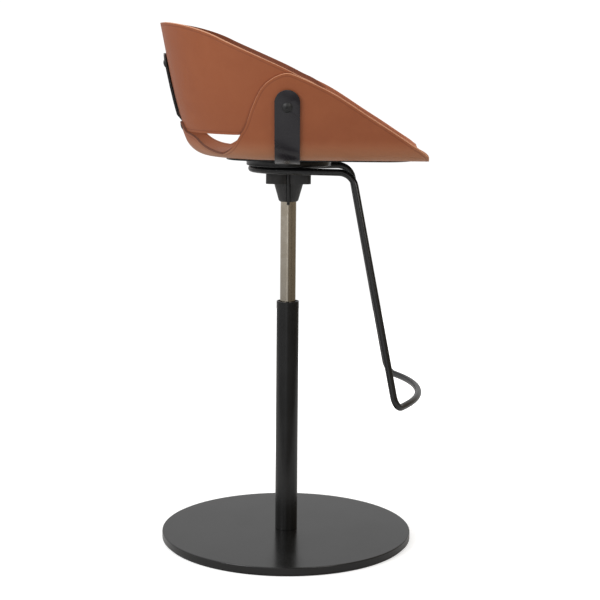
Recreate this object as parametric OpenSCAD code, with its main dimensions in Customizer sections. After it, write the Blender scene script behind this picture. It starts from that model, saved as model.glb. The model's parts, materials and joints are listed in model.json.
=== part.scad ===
// High stool: bucket seat of two leather shells in steel straps, on a gas spring column with a hung footrest.
// Front of the stool is +X, the sitter's right is -Y, and Z = 0 is the floor, with the column on the Z axis.

/* [Base] */
// Diameter of the base plate
base_d = 450; // [380:5:560]
// Thickness of the base plate
base_t = 13; // [8:0.5:20]
// Thickness of the glide pad under the plate
glide_h = 3; // [1:0.5:5]
// Margin of the plate round the glide pad
glide_in = 4; // [2:0.5:10]
// Bevel round the base plate
base_bevel = 1; // [0.5:0.1:2]

/* [Column] */
// Outer diameter of the column tube
tube_d = 40; // [33:0.5:50]
// Wall of the column tube
tube_wall = 2; // [1.5:0.1:2.5]
// Length of the column tube
tube_len = 419; // [340:5:520]
// Length of the guide bush in the tube's mouth
bush_len = 80; // [50:1:100]
// Depth of the bush below the tube's lip
bush_sink = 1.5; // [0.5:0.1:3]
// Height of the foot welded into the tube
foot_h = 20; // [18:1:30]

/* [Gas spring] */
// Outer diameter of the cylinder
cyl_d = 28; // [23:0.2:34]
// Wall of the cylinder
cyl_wall = 2; // [1.5:0.1:2.5]
// Length of cylinder between the tube's lip and the hub, as photographed
cyl_shown = 179; // [175:1:220]
// Length of cylinder inside the tube, as photographed
cyl_inside = 190; // [150:1:200]
// Length of the taper that holds the hub
taper_len = 38; // [30:1:45]
// Narrowing of the taper, on the diameter
taper_drop = 1.6; // [1:0.1:2.5]
// Diameter of the piston rod
rod_d = 10; // [9:0.5:12]
// Diameter of the rod's ends
spigot_d = 8; // [6.5:0.5:8.5]
// Height of the rubber bump stop
bump_h = 26; // [15:0.5:26.5]
// Height of the piston above the cylinder's lower end, as photographed
piston_up = 60; // [55:1:100]

/* [Hub] */
// Height of the hub's cone
cone_h = 33.6; // [30:0.1:45]
// Wall of the cone's lower end
cone_wall = 3.5; // [2.5:0.1:6]
// Diameter of the cone's upper end
cone_d2 = 53; // [48:1:60]
// Side of the hub's square block
block_w = 79; // [74:1:95]
// Height of the block
block_h = 31.2; // [28:0.1:36]
// Radius of the block's corners
block_r = 9; // [6:0.5:12]
// Distance of the hub's bolts outside the lever's pin
bolt_out = 7; // [6.8:0.1:9]
// Thickness of the lever blade
lever_t = 5; // [3:0.5:6.5]
// Clearance on each side of the lever blade
lever_gap = 1; // [0.5:0.1:2]
// Distance of the lever's pin outside the wall round the cylinder's head
pin_out = 5.5; // [4.5:0.5:8]

/* [Seat frame] */
// Diameter of the mount disc
disc_d = 150; // [145:1:190]
// Thickness of the mount disc
disc_t = 10.8; // [8:0.1:14]
// Width of the straps
strap_w = 42; // [30:1:53]
// Thickness of the straps
strap_t = 4; // [3:0.1:5]
// Thickness of the seat plate
plate_t = 3; // [2:0.1:5]
// Distance of the seat plate's rear edge inside the leather's flat bottom
plate_in_back = 32; // [20:1:50]
// Distance of the seat plate's front edge behind the leather's front edge
plate_in_front = 28; // [22:1:70]
// Distance of the seat plate's sides inside the leather's flat bottom
plate_in_side = 12; // [5:1:40]
// Height of a side strap's top above the seat's underside
side_top = 120; // [105:1:140]
// Height of a side strap's screw above the seat's underside
side_screw = 92; // [80:1:110]
// Height of the rear strap's top above the seat's underside
rear_top = 177; // [170:1:200]
// Height of the rear strap's screw above the seat's underside
rear_screw_up = 160; // [140:1:175]
// Diameter of the domed screw heads
dome_d = 18; // [12:1:22]

/* [Footrest] */
// Diameter of the footrest rod
foot_rod_d = 12; // [10:0.5:14]
// Radius of the rod's loop round the hub
loop_r = 66; // [60:0.5:85]
// Distance of the upper bends before the column
knee_x = 111; // [105:0.5:140]
// Half of the distance between the upper bends
knee_y = 92; // [88:1:105]
// Radius of the upper bends
knee_r = 30; // [20:1:40]
// Drop from the loop to the foot bar
bar_drop = 398; // [320:0.5:450]
// Distance of the foot bar's corners before the column
bar_x = 188; // [160:1:200]
// Half of the distance between the foot bar's corners
bar_y = 162; // [140:1:170]
// Radius of the foot bar's corners
bar_corner_r = 22; // [15:1:24]
// Radius of the foot bar's bow
bar_r = 282; // [265:1:295]
// Distance from the bar's corners to the point where its end tangents meet
bar_point = 81.5; // [80:0.5:90]

/* [Leather] */
// Thickness of the leather, measured level through the wall
skin = 4.4; // [3:0.02:6]
// Radius of the back shell's rim at the rear
rim_r = 226.5; // [188.5:0.5:272]
// Height of the back shell's rim above the seat's underside
rim_up = 230; // [191:1:276]
// Height of the back shell's lower edge above the seat's underside
hem_up = 43; // [42:0.5:50]
// Lean of the back shell, outwards for each unit of height
lean = 0.191; // [0.15:0.001:0.25]
// Inward tuck of the shell at its lower edge
tuck = 8; // [4:0.1:12]
// Radius of the bend between the seat's bottom and its walls
bend_r = 47; // [41:1:56]
// Reach of the seat's front edge before the column
front_x = 244; // [203:0.5:293]
// Bow of the seat's front edge, seen from above
front_bow = 1600; // [800:50:3000]
// Height of the rear tongue above the seat's underside
tongue_up = 57.5; // [54:0.1:62]

/* [Hidden] */
$fn = 64;

// Small distances: the seated fit of fixed pieces, the running fit of shafts, and the overshoot of cuts
fit = 0.02;
run = 0.05;
cut = 1;
far = 400;

// Heights of the base and the column
base_z = glide_h;
tube_z = glide_h + base_t;
tube_top = tube_z + tube_len;
tube_bore = tube_d - 2 * tube_wall;

// Column foot, its screws and the thrust bearing that stands on it
foot_screws = 4;
foot_screw_d = 5;
foot_pcd = 27;
foot_recess_d = 18;
foot_recess_h = 8;
race_d = 26;
race_t = 2;
ball_d = 4;
balls = 12;
ball_pcd = 18;
cage_bore = spigot_d + 3.2;
race_z = tube_z + foot_h;
ball_z = race_z + race_t + ball_d / 2 + fit;
upper_race_z = race_z + race_t + ball_d + 2 * fit;
shoulder_z = upper_race_z + race_t + fit;
clip_t = 1.2;
clip_d = 14;
washer_t = 1.6;
washer_z = tube_z + foot_recess_h - washer_t - fit;
clip_z = washer_z - clip_t - fit;
rod_z = tube_z + 2;

// Gas spring
cyl_z = tube_top - cyl_inside;
cyl_bore = cyl_d - 2 * cyl_wall;
hub_z = tube_top + cyl_shown;
taper_z = hub_z + 6;
cyl_top = taper_z + taper_len;
cyl_roof = hub_z - 6;
lip_h = 3;
guide_h = 15;
seal_h = 4;
piston_z = cyl_z + piston_up;
piston_h = 16;
nut_h = 5;
button_d = 8;
button_len = 36;
button_out = 6;
button_z = cyl_top + button_out - button_len;

// Hub, its chamber and the lever
cone_d1 = cyl_d + 2 * cone_wall;
block_z = hub_z + cone_h;
disc_z = block_z + block_h;
chamber_d = 22;
slot_w = lever_t + 2 * lever_gap;
slot_wall = 2.5;
slot_in = cyl_d / 2 + slot_wall;
lever_arm = slot_in + pin_out;
pin_d = 5;
nose_r = 2.5;
pivot_z = cyl_top + button_out + nose_r + run;
hub_bolt_d = 8;
hub_head_d = 13;
hub_head_h = 8;
bolt_at = [for (x = [-1, 1], y = [-1, 1]) (lever_arm + bolt_out) * [x, y]];

// Frame under the seat: disc, spacers and strap, plate, leather
strap_z = disc_z + disc_t;
plate_z = strap_z + strap_t;
seat_z = plate_z + plate_t;
screw_d = 6;
screw_hole_d = 6.4;
seat_head_d = 13;
seat_head_h = 3;
spacer_d = 16;
spacer_at = [for (x = [-58, 58], y = [-36, 36]) [x, y]];
strap_screw_y = 52;
seat_screw_at = concat(spacer_at, [[0, -strap_screw_y], [0, strap_screw_y]]);

// Leather shells: heights, the wall's radius and slope at a height, and the bend below it
rim_z = seat_z + rim_up;
hem_z = seat_z + hem_up;
wing_z = seat_z + 146.5;
notch_up = skin + 1.2;
shell_h = rim_z - hem_z;
touch = 0.1;
function back_r(z) = rim_r - lean * (rim_z - z) - tuck * pow((rim_z - z) / shell_h, 4);
function slope(z) = lean + 4 * tuck / shell_h * pow((rim_z - z) / shell_h, 3);
function seat_r(z) = back_r(z) + touch + skin;
bend_a = atan(slope(seat_z + 0.63 * bend_r));
join_z = seat_z + bend_r * (1 - sin(bend_a));
flat_r = seat_r(join_z) - bend_r * cos(bend_a);
// Stations of the leather's outlines are written for these three sizes, and follow them
wide = rim_r / 226.5;
tall = rim_up / 230;
ahead = front_x / 244;
low_z = [hem_z, hem_z + 9, hem_z + 19, hem_z + 32, hem_z + 50, hem_z + 75, hem_z + 108];
high_z = [hem_z + 0.73 * shell_h, hem_z + 0.88 * shell_h, rim_z + 2];

// Stacks through the leather: strap, wing and back shell, with the screw's dome outside and its nut inside
dome_h = 4;
low_d = 12;
low_h = 1.8;
nut_d = 13;
wall_nut_h = 5;
strap_off = 1;
joggle_top = hem_z + 27;
joggle_end = seat_z + tongue_up + 0.7;
notch_top = hem_z + 33;
strap_end = hem_z + 2;
tail_sag = back_r(hem_z) - sqrt(pow(back_r(hem_z), 2) - strap_w * strap_w / 4) + touch;
tongue_screw_z = hem_z + 7;
tongue_turn = 10.5;
stack = 2 * skin + touch;
tail_stack = skin + 2 * touch + tail_sag + strap_t;
shank_out = wall_nut_h - 2;

// Points on a smooth curve through the given ones, with n steps between neighbours
function blend(p, i, t) = let (a = p[max(i - 1, 0)], b = p[i], c = p[i + 1], d = p[min(i + 2, len(p) - 1)])
    0.5 * (2 * b + (c - a) * t + (2 * a - 5 * b + 4 * c - d) * t * t + (3 * b - a - 3 * c + d) * t * t * t);
function smooth(p, n) = concat([for (i = [0 : len(p) - 2], k = [0 : n - 1]) blend(p, i, k / n)], [p[len(p) - 1]]);

// Points on an arc
function arc(c, r, a0, a1, n) = [for (k = [0 : n]) let (a = a0 + (a1 - a0) * k / n) c + r * [cos(a), sin(a)]];

// List read backwards, and points mirrored across the second axis
function back(p) = [for (i = [len(p) - 1 : -1 : 0]) p[i]];
function mirrored(p) = [for (q = p) [-q.x, q.y]];

// Tube between two radii
module ring(d, bore, h) {
    difference() {
        cylinder(d = d, h = h);
        translate([0, 0, -cut]) cylinder(d = bore, h = h + 2 * cut);
    }
}

// Plate with round corners, from two opposite corners
module round_plate(p, q, r, h) {
    linear_extrude(h) union() {
        translate([p.x + r, p.y]) square([q.x - p.x - 2 * r, q.y - p.y]);
        translate([p.x, p.y + r]) square([q.x - p.x, q.y - p.y - 2 * r]);
        for (x = [p.x + r, q.x - r], y = [p.y + r, q.y - r]) translate([x, y]) circle(r);
    }
}

// Extrude an outline drawn in X and Z along Y, or one drawn in Y and Z along X
module along_y(w) {
    translate([0, w / 2, 0]) rotate([90, 0, 0]) linear_extrude(w) children();
}
module along_x(x0, w) {
    translate([x0, 0, 0]) rotate([90, 0, 90]) linear_extrude(w) children();
}

// Place children on the leather's outer face at a height, with their Z axis pointing out of the wall
module on_wall(z, turn, r) {
    rotate([0, 0, turn]) translate([r, 0, z]) rotate([0, 90 + atan(slope(z)), 0]) children();
}

// Base
module glide_pad() {
    color([0.06, 0.06, 0.06]) cylinder(d = base_d - 2 * glide_in, h = glide_h, $fn = 128);
}

module base_disc() {
    color([0.1, 0.1, 0.1]) difference() {
        translate([0, 0, base_z]) union() {
            cylinder(d1 = base_d - 2 * base_bevel, d2 = base_d, h = base_bevel, $fn = 128);
            translate([0, 0, base_bevel]) cylinder(d = base_d, h = base_t - 2 * base_bevel, $fn = 128);
            translate([0, 0, base_t - base_bevel])
                cylinder(d1 = base_d, d2 = base_d - 2 * base_bevel, h = base_bevel, $fn = 128);
        }
        at_foot_screws() union() {
            translate([0, 0, base_z - cut]) cylinder(d = foot_screw_d + 0.6, h = base_t + 2 * cut);
            translate([0, 0, base_z - cut]) cylinder(d = 2 * foot_screw_d + 0.6, h = cut + 1);
            translate([0, 0, base_z + 1])
                cylinder(d1 = 2 * foot_screw_d + 0.6, d2 = foot_screw_d + 0.6, h = foot_screw_d / 2);
        }
    }
}

module at_foot_screws() {
    for (i = [0 : foot_screws - 1]) rotate([0, 0, 45 + i * 360 / foot_screws])
        translate([foot_pcd / 2, 0, 0]) children();
}

module base_screws() {
    head_h = foot_screw_d / 2;
    color([0.55, 0.55, 0.56]) at_foot_screws() translate([0, 0, base_z + 1]) difference() {
        union() {
            cylinder(d1 = 2 * foot_screw_d, d2 = foot_screw_d, h = head_h);
            cylinder(d = foot_screw_d - 2 * fit, h = base_t - 1 + foot_h * 0.7);
        }
        translate([0, 0, -cut]) cylinder(d = foot_screw_d * 0.6, h = cut + 1.5, $fn = 6);
    }
}

// Column
module column_foot() {
    color([0.3, 0.3, 0.3]) difference() {
        translate([0, 0, tube_z]) cylinder(d = tube_bore - 2 * fit, h = foot_h);
        translate([0, 0, tube_z - cut]) cylinder(d = foot_recess_d, h = foot_recess_h + cut);
        cylinder(d = spigot_d + 2 * run, h = race_z + cut);
        at_foot_screws() translate([0, 0, tube_z - cut]) cylinder(d = foot_screw_d, h = foot_h * 0.8 + cut);
    }
}

module column_tube() {
    lip = 0.6;
    color([0.08, 0.08, 0.08]) translate([0, 0, tube_z]) rotate_extrude() polygon([
        [tube_bore / 2, 0], [tube_d / 2, 0], [tube_d / 2, tube_len - lip],
        [tube_d / 2 - lip, tube_len], [tube_bore / 2, tube_len]
    ]);
}

module guide_bush() {
    color([0.03, 0.03, 0.03]) translate([0, 0, tube_top - bush_sink - bush_len])
        ring(tube_bore - 2 * fit, cyl_d + 2 * run, bush_len);
}

// Thrust bearing under the piston rod
module lower_race() {
    color("silver") translate([0, 0, race_z]) ring(race_d, spigot_d + 0.6, race_t);
}

module upper_race() {
    color("silver") translate([0, 0, upper_race_z]) ring(race_d, spigot_d + 2 * run, race_t);
}

module at_balls() {
    for (i = [0 : balls - 1]) rotate([0, 0, i * 360 / balls]) translate([ball_pcd / 2, 0, ball_z]) children();
}

module ball_cage() {
    cage_t = ball_d * 0.6;
    color([0.85, 0.83, 0.75]) difference() {
        translate([0, 0, ball_z - cage_t / 2]) ring(race_d - 1, cage_bore, cage_t);
        at_balls() translate([0, 0, -ball_d]) cylinder(d = ball_d + 2 * run, h = 2 * ball_d, $fn = 24);
    }
}

module bearing_balls() {
    color("silver") at_balls() sphere(d = ball_d, $fn = 24);
}

// Piston rod and what is on it
module piston_rod() {
    groove = 0.7;
    color([0.8, 0.8, 0.82]) rotate_extrude() polygon([
        [0, rod_z], [spigot_d / 2 - 0.5, rod_z], [spigot_d / 2, rod_z + 0.5],
        [spigot_d / 2, clip_z - fit], [spigot_d / 2 - groove, clip_z - fit],
        [spigot_d / 2 - groove, clip_z + clip_t], [spigot_d / 2, clip_z + clip_t],
        [spigot_d / 2, shoulder_z], [rod_d / 2, shoulder_z], [rod_d / 2, piston_z - fit],
        [spigot_d / 2, piston_z - fit], [spigot_d / 2, piston_z + piston_h + nut_h + 2],
        [0, piston_z + piston_h + nut_h + 2]
    ]);
}

module rod_clip() {
    color([0.4, 0.4, 0.42]) translate([0, 0, clip_z]) difference() {
        cylinder(d = clip_d, h = clip_t - fit);
        translate([0, 0, -cut]) cylinder(d = spigot_d - 1.3, h = clip_t + 2 * cut);
        translate([0, -1.5, -cut]) cube([clip_d, 3, clip_t + 2 * cut]);
    }
}

module clip_washer() {
    color("silver") translate([0, 0, washer_z]) ring(foot_recess_d - 2, spigot_d + 2 * run, washer_t);
}

module bump_stop() {
    groove_r = 1.5;
    outer = tube_bore / 2 - 6;
    color([0.05, 0.05, 0.05]) translate([0, 0, shoulder_z + fit]) difference() {
        cylinder(r = outer, h = bump_h - fit);
        translate([0, 0, -cut]) cylinder(d = rod_d + 2 * fit, h = bump_h + 2 * cut);
        for (z = [bump_h / 3, 2 * bump_h / 3]) translate([0, 0, z])
            rotate_extrude() translate([outer, 0]) circle(groove_r, $fn = 24);
    }
}

module piston_head() {
    color([0.7, 0.7, 0.68]) translate([0, 0, piston_z]) difference() {
        cylinder(d = cyl_bore - 2 * run, h = piston_h);
        translate([0, 0, -cut]) cylinder(d = spigot_d + 2 * fit, h = piston_h + 2 * cut);
        for (z = [3, piston_h - 6]) translate([0, 0, z]) ring(cyl_bore + cut, cyl_bore - 4, 3);
    }
}

module piston_nut() {
    color("silver") translate([0, 0, piston_z + piston_h + fit]) difference() {
        cylinder(d = 15, h = nut_h, $fn = 6);
        translate([0, 0, -cut]) cylinder(d = spigot_d + 2 * fit, h = nut_h + 2 * cut);
    }
}

// Gas spring cylinder: lip below, long bore, solid head with the taper and the button's bore
module gas_cylinder() {
    r = cyl_d / 2;
    b = cyl_bore / 2;
    k = button_d / 2 + run;
    color([0.66, 0.62, 0.54]) rotate_extrude() polygon([
        [b - 2, cyl_z], [r - 1, cyl_z], [r, cyl_z + 1], [r, taper_z], [r - taper_drop / 2, cyl_top],
        [k, cyl_top], [k, button_z - 6], [0, button_z - 6], [0, cyl_roof - 6], [b - 3, cyl_roof - 6],
        [b, cyl_roof - 10], [b, cyl_z + lip_h], [b - 2, cyl_z + lip_h]
    ]);
}

module rod_guide() {
    color([0.55, 0.55, 0.5]) translate([0, 0, cyl_z + lip_h + fit])
        ring(cyl_bore - 2 * fit, rod_d + 2 * run, guide_h);
}

module rod_seal() {
    color([0.05, 0.05, 0.05]) translate([0, 0, cyl_z + lip_h + guide_h + 3 * fit])
        ring(cyl_bore - 2 * fit, rod_d + 2 * run, seal_h);
}

module release_button() {
    d = button_d;
    tip = 1;
    color([0.75, 0.75, 0.75]) translate([0, 0, button_z]) union() {
        cylinder(d = d, h = button_len - tip);
        translate([0, 0, button_len - tip]) cylinder(d1 = d, d2 = d - 2 * tip, h = tip);
    }
}

// Hub: cone and square block, bored for the taper, slotted for the lever
module hub_casting() {
    foot = 2;
    color([0.1, 0.1, 0.1]) difference() {
        union() {
            translate([0, 0, hub_z]) cylinder(d1 = cone_d1 - 2 * foot, d2 = cone_d1, h = foot);
            translate([0, 0, hub_z + foot]) cylinder(d1 = cone_d1, d2 = cone_d2, h = cone_h - foot);
            translate([0, 0, block_z])
                round_plate([-block_w / 2, -block_w / 2], [block_w / 2, block_w / 2], block_r, block_h);
        }
        hub_bore();
        hub_slot();
        for (p = bolt_at) translate([p.x, p.y, block_z]) {
            translate([0, 0, -cut]) cylinder(d = hub_head_d + 1, h = hub_head_h + cut);
            cylinder(d = hub_bolt_d + 0.6, h = block_h + cut);
        }
        translate([-block_w / 2 + 26, -lever_arm, pivot_z]) rotate([0, 90, 0])
            cylinder(d = pin_d + 2 * fit, h = block_w, $fn = 32);
    }
}

module hub_bore() {
    r = cyl_d / 2 + fit;
    rotate_extrude() polygon([
        [0, hub_z - cut], [r, hub_z - cut], [r, taper_z], [r - taper_drop / 2, cyl_top + fit],
        [chamber_d / 2, cyl_top + fit], [chamber_d / 2, disc_z + cut], [0, disc_z + cut]
    ]);
}

module hub_slot() {
    top = disc_z - 2.5 - hub_z;
    translate([-slot_w / 2, -block_w, hub_z - cut]) cube([slot_w, block_w - slot_in, top + cut]);
    translate([-slot_w / 2, -slot_in - cut, cyl_top + fit]) cube([slot_w, slot_in + cut, disc_z - 2.5 - cyl_top]);
}

module hub_bolts() {
    color([0.12, 0.12, 0.12]) for (p = bolt_at) translate([p.x, p.y, block_z]) difference() {
        union() {
            cylinder(d = hub_head_d, h = hub_head_h - fit);
            cylinder(d = hub_bolt_d - 2 * fit, h = block_h + disc_t - 2);
        }
        translate([0, 0, -cut]) cylinder(d = 7, h = cut + 4, $fn = 6);
    }
}

module lever_pin() {
    color("silver") translate([-block_w / 2 + 26 + fit, -lever_arm, pivot_z]) rotate([0, 90, 0])
        cylinder(d = pin_d, h = block_w - 26 - 1, $fn = 32);
}

// Release lever: a finger over the button, a boss on the pin and a blade that hangs before the cone
module release_lever() {
    boss_r = 6.5;
    blade_in = slot_in + 1.5;
    tip_z = hub_z - 5;
    color([0.04, 0.04, 0.04]) along_x(-lever_t / 2, lever_t) difference() {
        union() {
            translate([-lever_arm, pivot_z]) circle(boss_r);
            translate([0, pivot_z]) circle(nose_r);
            polygon([
                [-lever_arm, pivot_z - nose_r], [0, pivot_z - nose_r], [0, pivot_z + nose_r],
                [-lever_arm, pivot_z + boss_r - 0.5]
            ]);
            polygon(concat(
                [[-lever_arm, pivot_z + boss_r], [-block_w / 2 + 4, pivot_z + boss_r - 1]],
                [[-block_w / 2 - 2, pivot_z + 1], [-block_w / 2 - 3, pivot_z - 6]],
                [[-cone_d1 / 2 - 11, tip_z + 6], [-cone_d1 / 2 - 7, tip_z + 1], [-cone_d1 / 2 - 4, tip_z]],
                [[-blade_in, tip_z + 3], [-blade_in, pivot_z - 12], [-lever_arm + 5, pivot_z - 4]]
            ));
        }
        translate([-lever_arm, pivot_z]) circle(pin_d / 2 + run, $fn = 32);
    }
}

// Mount disc under the seat, tapped for the hub's bolts and the seat's screws
module mount_disc() {
    edge = 1;
    color([0.09, 0.09, 0.09]) difference() {
        translate([0, 0, disc_z]) union() {
            cylinder(d1 = disc_d - 2 * edge, d2 = disc_d, h = edge);
            translate([0, 0, edge]) cylinder(d = disc_d, h = disc_t - 2 * edge);
            translate([0, 0, disc_t - edge]) cylinder(d1 = disc_d, d2 = disc_d - 2 * edge, h = edge);
        }
        translate([0, 0, disc_z - cut]) cylinder(d = chamber_d, h = disc_t + 2 * cut);
        for (p = bolt_at) translate([p.x, p.y, disc_z - cut]) cylinder(d = hub_bolt_d, h = disc_t + 2 * cut);
        for (p = seat_screw_at) translate([p.x, p.y, disc_z - cut]) cylinder(d = screw_d, h = disc_t + 2 * cut);
    }
}

// Footrest: one closed rod, bent round the hub, down the front and across as the foot bar
function unit(v) = v / norm(v);
rod_line_z = disc_z - foot_rod_d / 2 - run;
bar_z = rod_line_z - bar_drop;
arm_a = acos(loop_r / norm([knee_x, knee_y])) - atan2(knee_x, knee_y);
loop_x = -loop_r / sin(arm_a);
rod_corners = [
    [loop_x, 0, rod_line_z],
    [knee_x, knee_y, rod_line_z], [bar_x, bar_y, bar_z],
    [bar_x + bar_point, 0, bar_z],
    [bar_x, -bar_y, bar_z], [knee_x, -knee_y, rod_line_z]
];
rod_bends = [loop_r, knee_r, bar_corner_r, bar_r, bar_corner_r, knee_r];

module footrest_rod() {
    n = len(rod_corners);
    color([0.08, 0.08, 0.08]) union() for (i = [0 : n - 1]) let (
        before = rod_corners[(i + n - 1) % n], at = rod_corners[i], after = rod_corners[(i + 1) % n],
        next = rod_corners[(i + 2) % n],
        a = unit(at - before), b = unit(after - at), c = unit(next - after),
        turn = acos(a * b), turn2 = acos(b * c),
        reach = rod_bends[i] * tan(turn / 2), reach2 = rod_bends[(i + 1) % n] * tan(turn2 / 2)
    ) {
        rod_bend(at - a * reach, a, b, turn, rod_bends[i]);
        rod_run(at + b * (reach - lap), b, norm(after - at) - reach - reach2 + 2 * lap);
    }
}

// Straight stretch of the rod from a point along a direction, a hair thinner than the bends that it laps into
lap = 0.5;
swell = 0.1;
module rod_run(p, dir, len) {
    side = unit(cross(dir, [0.3, 0.5, 0.8]));
    up = cross(dir, side);
    multmatrix([
        [side.x, up.x, dir.x, p.x], [side.y, up.y, dir.y, p.y], [side.z, up.z, dir.z, p.z]
    ]) cylinder(d = foot_rod_d - swell, h = len, $fn = 24);
}

// Bend of the rod that starts at a point along a, and turns towards b
module rod_bend(p, a, b, turn, r) {
    inward = unit(b - (a * b) * a);
    c = p + r * inward;
    x = -inward;
    z = cross(x, a);
    multmatrix([[x.x, a.x, z.x, c.x], [x.y, a.y, z.y, c.y], [x.z, a.z, z.z, c.z]])
        rotate_extrude(angle = turn) translate([r, 0]) circle(d = foot_rod_d, $fn = 24);
}

module spacers() {
    color([0.3, 0.3, 0.3]) for (p = spacer_at) translate([p.x, p.y, strap_z + fit])
        ring(spacer_d, screw_hole_d, strap_t - 2 * fit);
}

module seat_plate() {
    corner = 55;
    color([0.07, 0.07, 0.07]) difference() {
        translate([0, 0, plate_z])
            round_plate([plate_in_back - flat_r, plate_in_side - flat_r],
                [front_x - plate_in_front, flat_r - plate_in_side], corner, plate_t - fit);
        for (p = seat_screw_at) translate([p.x, p.y, plate_z - cut]) cylinder(d = screw_hole_d, h = plate_t + 2 * cut);
    }
}

module seat_screws() {
    top = seat_z + skin;
    color([0.12, 0.12, 0.12]) for (p = seat_screw_at) translate([p.x, p.y, 0]) difference() {
        union() {
            translate([0, 0, top + fit]) cylinder(d = seat_head_d, h = 1);
            translate([0, 0, top + 1 + fit]) cylinder(d1 = seat_head_d, d2 = seat_head_d - 5, h = seat_head_h - 1);
            translate([0, 0, disc_z + 2]) cylinder(d = screw_d - 2 * fit, h = top - disc_z);
        }
        translate([0, 0, top + 1.2]) cylinder(d = 4.6, h = seat_head_h, $fn = 6);
    }
}

// Side strap: one flat bar under the seat that follows the leather up both sides, with round ends
function strap_line(off) = let (r = bend_r + plate_t + off, z = plate_z - off, a = bend_a)
    let (jz = z + r * (1 - sin(a)), cy = seat_r(jz - off * sin(a)) + touch + off / cos(a) - r * cos(a))
    concat(
        arc([cy, z + r], r, -90, -a, 8),
        [for (h = low_z) [seat_r(h) + touch + off / cos(atan(slope(h))), h]]
    );

module side_strap() {
    top_z = seat_z + side_top;
    line_in = strap_line(0);
    line_out = strap_line(strap_t);
    color([0.08, 0.08, 0.08]) difference() {
        intersection() {
            along_x(-strap_w / 2, strap_w)
                polygon(concat(line_in, back(line_out), mirrored(line_out), back(mirrored(line_in))));
            along_y(2 * far) union() {
                translate([-strap_w / 2, strap_z - cut]) square([strap_w, top_z - strap_w / 2 - strap_z + cut]);
                translate([0, top_z - strap_w / 2]) circle(d = strap_w);
            }
        }
        at_side_screws() translate([0, 0, -cut]) cylinder(d = screw_hole_d, h = 3 * strap_t);
        for (y = [-1, 1]) translate([0, y * strap_screw_y, strap_z - cut])
            cylinder(d = screw_hole_d, h = strap_t + 2 * cut);
    }
}

// Mirror a flat outline across its second axis
module scale_y(s) {
    mirror([s < 0 ? 1 : 0, 0]) children();
}

module at_side_screws() {
    z = seat_z + side_screw;
    for (a = [-90, 90]) on_wall(z, a, seat_r(z)) children();
}

// Domed screw: head outside a stack, hexagon socket in its dome and a shank to the nut inside
module dome_screw(head_d, head_h, above, below) {
    sphere_r = (head_d * head_d / 4 + head_h * head_h) / (2 * head_h);
    difference() {
        union() {
            translate([0, 0, above + fit]) intersection() {
                translate([0, 0, head_h - sphere_r]) sphere(sphere_r);
                cylinder(d = head_d, h = head_h + cut);
            }
            translate([0, 0, -below]) cylinder(d = screw_d - 2 * fit, h = above + below + 1, $fn = 32);
        }
        translate([0, 0, above + head_h / 2]) cylinder(d = 4.6, h = head_h, $fn = 6);
    }
}

module wall_nut(depth) {
    translate([0, 0, -depth - wall_nut_h]) difference() {
        union() {
            translate([0, 0, 1]) cylinder(d = nut_d, h = wall_nut_h - 1 - 2 * fit, $fn = 32);
            cylinder(d1 = nut_d - 3, d2 = nut_d, h = 1, $fn = 32);
        }
        translate([0, 0, 1.5]) cylinder(d = screw_d, h = wall_nut_h + cut, $fn = 32);
    }
}

module side_screws() {
    color([0.1, 0.1, 0.1]) at_side_screws() dome_screw(dome_d, dome_h, strap_t + 0.2, stack + shank_out);
}

module side_nuts() {
    color([0.12, 0.12, 0.12]) at_side_screws() wall_nut(stack + touch / 2);
}

// Seat shell: flat bottom, bend and wall as one band, turned round the rear and run straight to the front
function seat_outer() = concat(
    [[0, seat_z]], arc([flat_r, seat_z + bend_r], bend_r, -90, -bend_a, 8), [for (h = low_z) [seat_r(h), h]]
);
function seat_inner() = concat(
    [[0, seat_z + skin]],
    arc([flat_r, seat_z + bend_r], bend_r - skin * cos(bend_a), -90, -bend_a, 8),
    [for (h = low_z) [seat_r(h) - skin, h]]
);

module seat_band() {
    polygon(concat(seat_outer(), back(seat_inner())));
}

// Side outline of the seat: the rim from the front edge over the wing's top and down its rear edge
wing_rim = smooth([for (p = [
    [245, skin - 1.5], [241, 4], [236.5, 7.3], [231, 11.5], [223, 18.2], [206, 30], [171, 53.2], [135, 76],
    [102, 97.7], [75, 114.2], [47, 128.2], [22, 139.4], [0, 146.5], [-21, 140], [-39, 126.5], [-50, 109], [-60, 86],
    [-69, 60], [-79, 43], [-92, 22], [-103, 12.5], [-113, 7.5], [-124, notch_up]
]) [p.x * (p.x > 0 ? ahead : wide), seat_z + p.y]], 2);

// Half outline of the rear tongue, seen from behind
tongue_edge = smooth([for (p = [
    [0, tongue_up], [38, tongue_up - 0.8], [46, tongue_up - 6.5], [54, 42.5], [72, 39.5], [86, 36.5], [95, 31.5],
    [103, 21], [109, 14.5], [116, 10], [126, 7], [142, notch_up]
]) [p.x * wide, seat_z + p.y]], 2);

module seat_shell() {
    color([0.58, 0.33, 0.2]) difference() {
        union() {
            rotate_extrude(angle = 180, start = 90) seat_band();
            along_x(0, front_x + cut) union() for (s = [-1, 1]) scale_y(s) seat_band();
        }
        rear_cut();
        front_cut();
        along_y(2 * far) polygon(concat(
            [for (p = wing_rim) if (p.x >= 0) p], [[-far, wing_z], [-far, far * 3], [far, far * 3], [far, seat_z + skin - 1.5]]
        ));
        for (p = seat_screw_at) translate([p.x, p.y, seat_z - cut]) cylinder(d = screw_hole_d, h = skin + 2 * cut);
        at_side_screws() translate([0, 0, -2 * skin]) cylinder(d = screw_hole_d, h = 3 * skin, $fn = 32);
        at_tongue_screws() translate([0, 0, -2 * skin]) cylinder(d = screw_hole_d, h = 3 * skin, $fn = 32);
    }
}

// What is cut away before the front edge's bow
module front_cut() {
    translate([0, 0, seat_z - cut]) linear_extrude(far) difference() {
        translate([front_x / 2, -far]) square([front_x, 2 * far]);
        translate([front_x - front_bow, 0]) circle(front_bow, $fn = 360);
    }
}

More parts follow.
